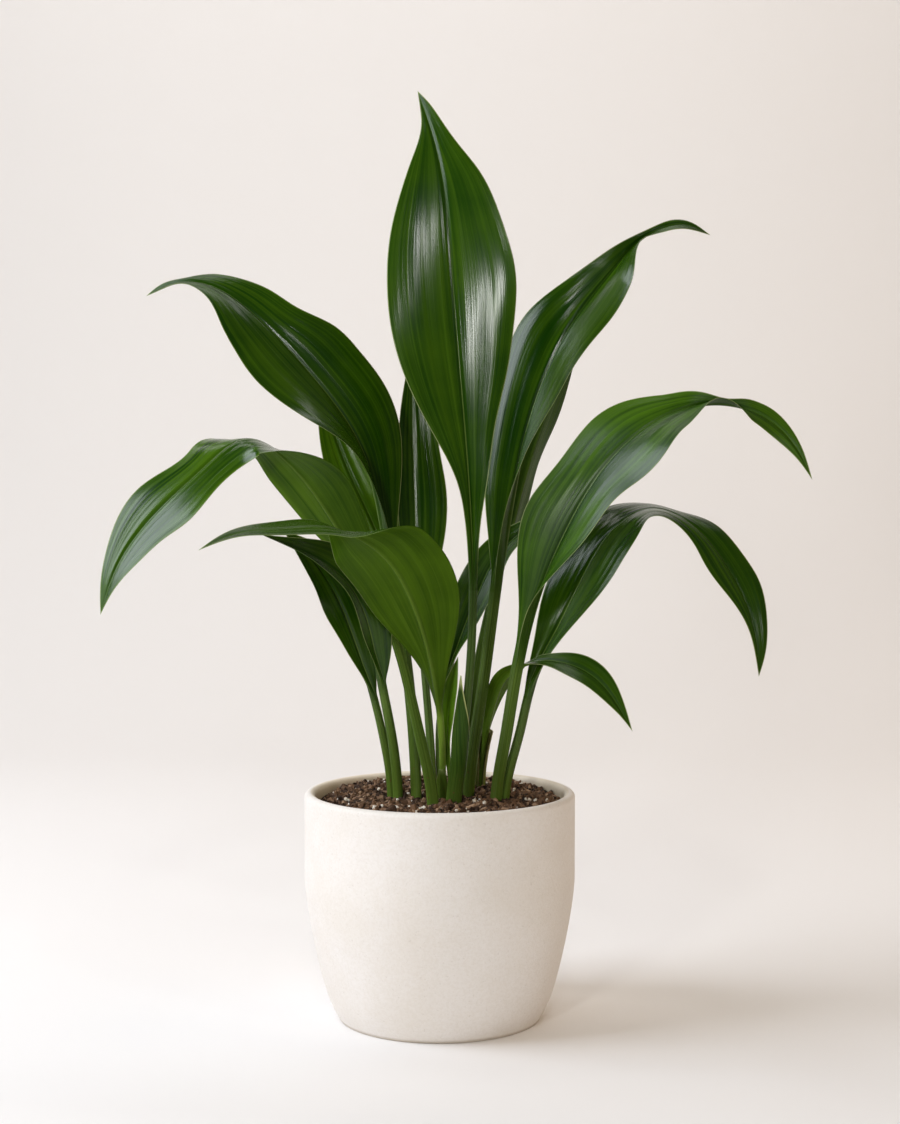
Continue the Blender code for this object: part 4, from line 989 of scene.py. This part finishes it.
def sheath_finish(name, deep, fresh, edge_colour):
    """A thin scale: long fibres, with painted light on its left and painted shade on its right, a pale dry
    edge and a few specks at its foot.
    """
    finish = Finish(name)
    across = finish.fact("across")
    place = finish.fact("place")
    fibres = finish.noise(finish.at(across * 40.0, place * 1.5, 0.7), 1.0, 2.0)
    # painted light on the scale's left side and painted shade on its right, mixed with the fibres' own tone
    tone = finish.step(fibres, 0.3, 0.7) * 0.4 + finish.step(across, 0.6, 0.15) * 0.6
    colour = finish.mix(tone, deep, fresh)
    edge = finish.step(finish.fact("from_edge"), 1.3, 0.35)
    colour = finish.mix(edge * finish.step(place, 0.25, 0.5), colour, edge_colour)
    foot = finish.step(finish.height(), 0.195, 0.165)
    colour = finish.mix(foot * 0.5, colour, FOOT_GREEN)
    specks = finish.step(finish.noise(finish.place(), 380.0, 2.0), 0.65, 0.71)
    colour = finish.mix(specks * foot * 0.6, colour, SPECK_BROWN)
    return finish.done(colour, 0.42 + fibres * 0.12, specular=0.15, bumps=finish.bump(fibres, 0.0005, 0.5))


def stoneware():
    """Matte off-white clay with soft clouds, a fine mottle and specks, a painted contact shadow along the
    foot, and a warmer, darker inside that is partly the mix's stain and partly painted shade of the inner
    wall.
    """
    finish = Finish("stoneware_matte")
    here = finish.place()
    clouds = finish.noise(here, 14.0, 4.0, 0.6)
    grain = finish.noise(here, 900.0, 2.0, 0.6)
    specks = finish.step(finish.noise(here, 520.0, 1.0), 0.68, 0.76)
    pale = finish.step(finish.noise(here, 640.0, 1.0), 0.7, 0.78)
    colour = finish.mix(finish.step(clouds, 0.3, 0.7), CLAY_WARM, CLAY_PALE)
    mottle = finish.step(finish.noise(here, 430.0, 3.0, 0.75), 0.4, 0.64)
    colour = finish.mix(mottle * 0.18, colour, CLAY_MOTTLE)
    # painted contact shadow: the clay turns brown within a few millimetres of the table
    foot = finish.step(finish.height(), 0.0032, 0.0004)
    colour = finish.mix(foot * 0.6, colour, CLAY_CONTACT_SHADOW)
    colour = finish.mix(specks * 0.16, colour, CLAY_SPECK)
    colour = finish.mix(pale * 0.3, colour, CLAY_FLECK)
    # inside the pot: a warmer, darker clay and a stain that deepens towards the mix, partly the mix's real
    # stain and partly painted shade of the inner wall
    stain = finish.step(finish.height() + (clouds - 0.5) * 0.006, POT_HEIGHT * MM, 0.158)
    colour = finish.mix(finish.fact("inside") * 0.7, colour, CLAY_INSIDE)
    colour = finish.mix(finish.fact("inside") * stain * 0.7, colour, SOIL_STAIN_AND_SHADE)
    relief = grain * 0.5 + finish.noise(here, 260.0, 2.0) * 0.6
    return finish.done(colour, 0.62 + (clouds - 0.5) * 0.12, specular=0.35,
                       bumps=finish.bump(relief, 0.0006, 0.5))


def mix_finish():
    """Dark damp peat between the chips."""
    finish = Finish("damp_peat")
    here = finish.place()
    crumbs = finish.noise(here, 260.0, 4.0, 0.7)
    colour = finish.mix(finish.step(crumbs, 0.4, 0.7), PEAT_DARK, PEAT_LIGHT)
    return finish.done(colour, 0.9, specular=0.25, bumps=finish.bump(crumbs, 0.002, 0.8))


def bark_finish():
    """Bark chips, each of its own tone from near black to tan, with a fibrous grain."""
    finish = Finish("bark")
    here = finish.place()
    tone = finish.fact("tone")
    fibres = finish.noise(here, 600.0, 3.0, 0.65)
    dark = finish.mix(finish.step(tone, 0.1, 0.9), BARK_DARK, BARK_BROWN)
    colour = finish.mix(finish.step(tone, 0.84, 0.96), dark, BARK_TAN)
    colour = finish.mix(finish.step(fibres, 0.45, 0.75) * 0.5, colour, BARK_FIBRE)
    return finish.done(colour, 0.72 + fibres * 0.15, specular=0.35, bumps=finish.bump(fibres, 0.0008, 0.7))


def perlite_finish():
    """White volcanic foam grains, slightly stained, with open pores."""
    finish = Finish("perlite")
    here = finish.place()
    pores = finish.noise(here, 900.0, 3.0, 0.7)
    stain = finish.step(finish.fact("tone"), 0.4, 1.0) * 0.5
    colour = finish.mix(stain, PERLITE_CREAM, PERLITE_STAIN)
    colour = finish.mix(finish.step(pores, 0.5, 0.35) * 0.4, colour, PERLITE_PORE)
    return finish.done(colour, 0.85, specular=0.3, bumps=finish.bump(pores, 0.0008, 0.7))


def rhizome_finish():
    """Pale brown ringed skin of the creeping stem."""
    finish = Finish("rhizome_bark")
    here = finish.place()
    skin = finish.noise(here, 120.0, 4.0, 0.6)
    colour = finish.mix(finish.step(skin, 0.35, 0.65), SKIN_DARK, SKIN_PALE)
    return finish.done(colour, 0.75, bumps=finish.bump(skin, 0.001, 0.6))


def add_stage(name, points, columns, rows, colour):
    mesh = bpy.data.meshes.new(name)
    mesh.from_pydata(points.reshape(-1, 3).tolist(), [], grid_faces(rows, columns).tolist())
    mesh.polygons.foreach_set("use_smooth", np.full(len(mesh.polygons), True))
    finish = Finish(name + "_paper")
    mesh.materials.append(finish.done(colour, 0.85, specular=0.2))
    sweep = add_object(name, mesh)


def make_sweep():
    """Pale paper: flat under the pot, then a quarter circle up into a wall behind."""
    turn = np.radians(np.linspace(-90, 0, 24))
    wall = SWEEP_FRONT + SWEEP_ROUND
    depth = np.concatenate([[-SWEEP_SIZE, -2.0, 0.0], SWEEP_FRONT + SWEEP_ROUND * np.cos(turn), [wall]])
    level = np.concatenate([[0, 0, 0], SWEEP_ROUND * (1 + np.sin(turn)), [SWEEP_SIZE]])
    across = np.array([-SWEEP_SIZE, 0.0, SWEEP_SIZE])
    points = np.stack(np.broadcast_arrays(across[None, :], depth[:, None], level[:, None]), -1)
    add_stage("paper_sweep", points, len(across), len(depth), PAPER)


def add_softbox(name, turn, rise, far, target, size, radiance, colour):
    """A soft light, seen from its target at turn degrees right of the front and rise degrees up.

    far is its distance and size its width and height, in metres. radiance is how bright its face looks.
    """
    data = bpy.data.lights.new(name, "AREA")
    data.shape = "RECTANGLE"
    data.size, data.size_y = size
    data.energy = radiance * pi * size[0] * size[1]
    data.color = colour
    light = add_object(name, data)
    turn, rise = radians(turn), radians(rise)
    light.location = (target[0] + far * cos(rise) * sin(turn), target[1] - far * cos(rise) * cos(turn),
                      target[2] + far * sin(rise))
    light.rotation_euler = (pi / 2 - rise, 0, turn)
    return light


def make_studio():
    """A cool key on the left, a warm fill on the right, small frontal lights for the gloss, a lit wall."""
    world = bpy.data.worlds.new("studio_air")
    bpy.context.scene.world = world
    world.use_nodes = True
    air = world.node_tree.nodes["Background"]
    air.inputs["Color"].default_value = (*AIR, 1)
    air.inputs["Strength"].default_value = AIR_STRENGTH
    bpy.context.scene.view_settings.view_transform = "Standard"
    add_softbox("key", -80, 36, 2.0, PLANT_MIDDLE, (1.3, 1.1), 9.6, COOL)
    fill = add_softbox("warm_side", 100, 28, 2.6, PLANT_MIDDLE, (2.4, 2.4), 0.95, WARM)
    fill.visible_glossy = False
    add_softbox("front_low", -20, 7, 2.1, LEAVES_MIDDLE, (0.18, 0.24), 80, FLASH)
    add_softbox("front_high", 0, 24, 2.1, LEAVES_MIDDLE, (0.15, 0.17), 58, FLASH)
    add_softbox("front_right", 44, 20, 2.1, LEAVES_MIDDLE, (0.11, 0.13), 62, FLASH)
    add_softbox("wall_wash", -10, 52, 2.6, WALL_MIDDLE, (3.0, 0.6), 4.9, WASH)


def make_camera():
    data = bpy.data.cameras.new("view")
    camera = add_object("view", data)
    data.sensor_fit = "VERTICAL"
    data.sensor_height = 36.0
    data.lens = CAMERA_LENS
    data.clip_start = 0.05
    camera.location = CAMERA_PLACE
    camera.rotation_euler = (radians(90 - CAMERA_DIP), 0, 0)
    bpy.context.scene.camera = camera


def main():
    make_pot(stoneware())
    make_mix(mix_finish())
    make_bark(bark_finish())
    make_perlite(perlite_finish())
    skin = rhizome_finish()
    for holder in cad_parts["rhizome"].material_slots:
        holder.material = skin
    for order, (name, leaf) in enumerate(LEAVES.items()):
        tones = {**PLAIN_TONES, **LEAF_TONES.get(name, {})}
        upper = leaf_upper(name + "_face", order * 5.3, tones)
        under = leaf_under(name + "_back", order * 5.3, tones)
        make_leaf(name, leaf, 100 + order, upper, under)
    for name, sheath in SHEATHS.items():
        make_sheath(name, sheath, sheath_finish(*SHEATH_TONES[name]))
    make_sweep()
    make_studio()
    make_camera()


main()
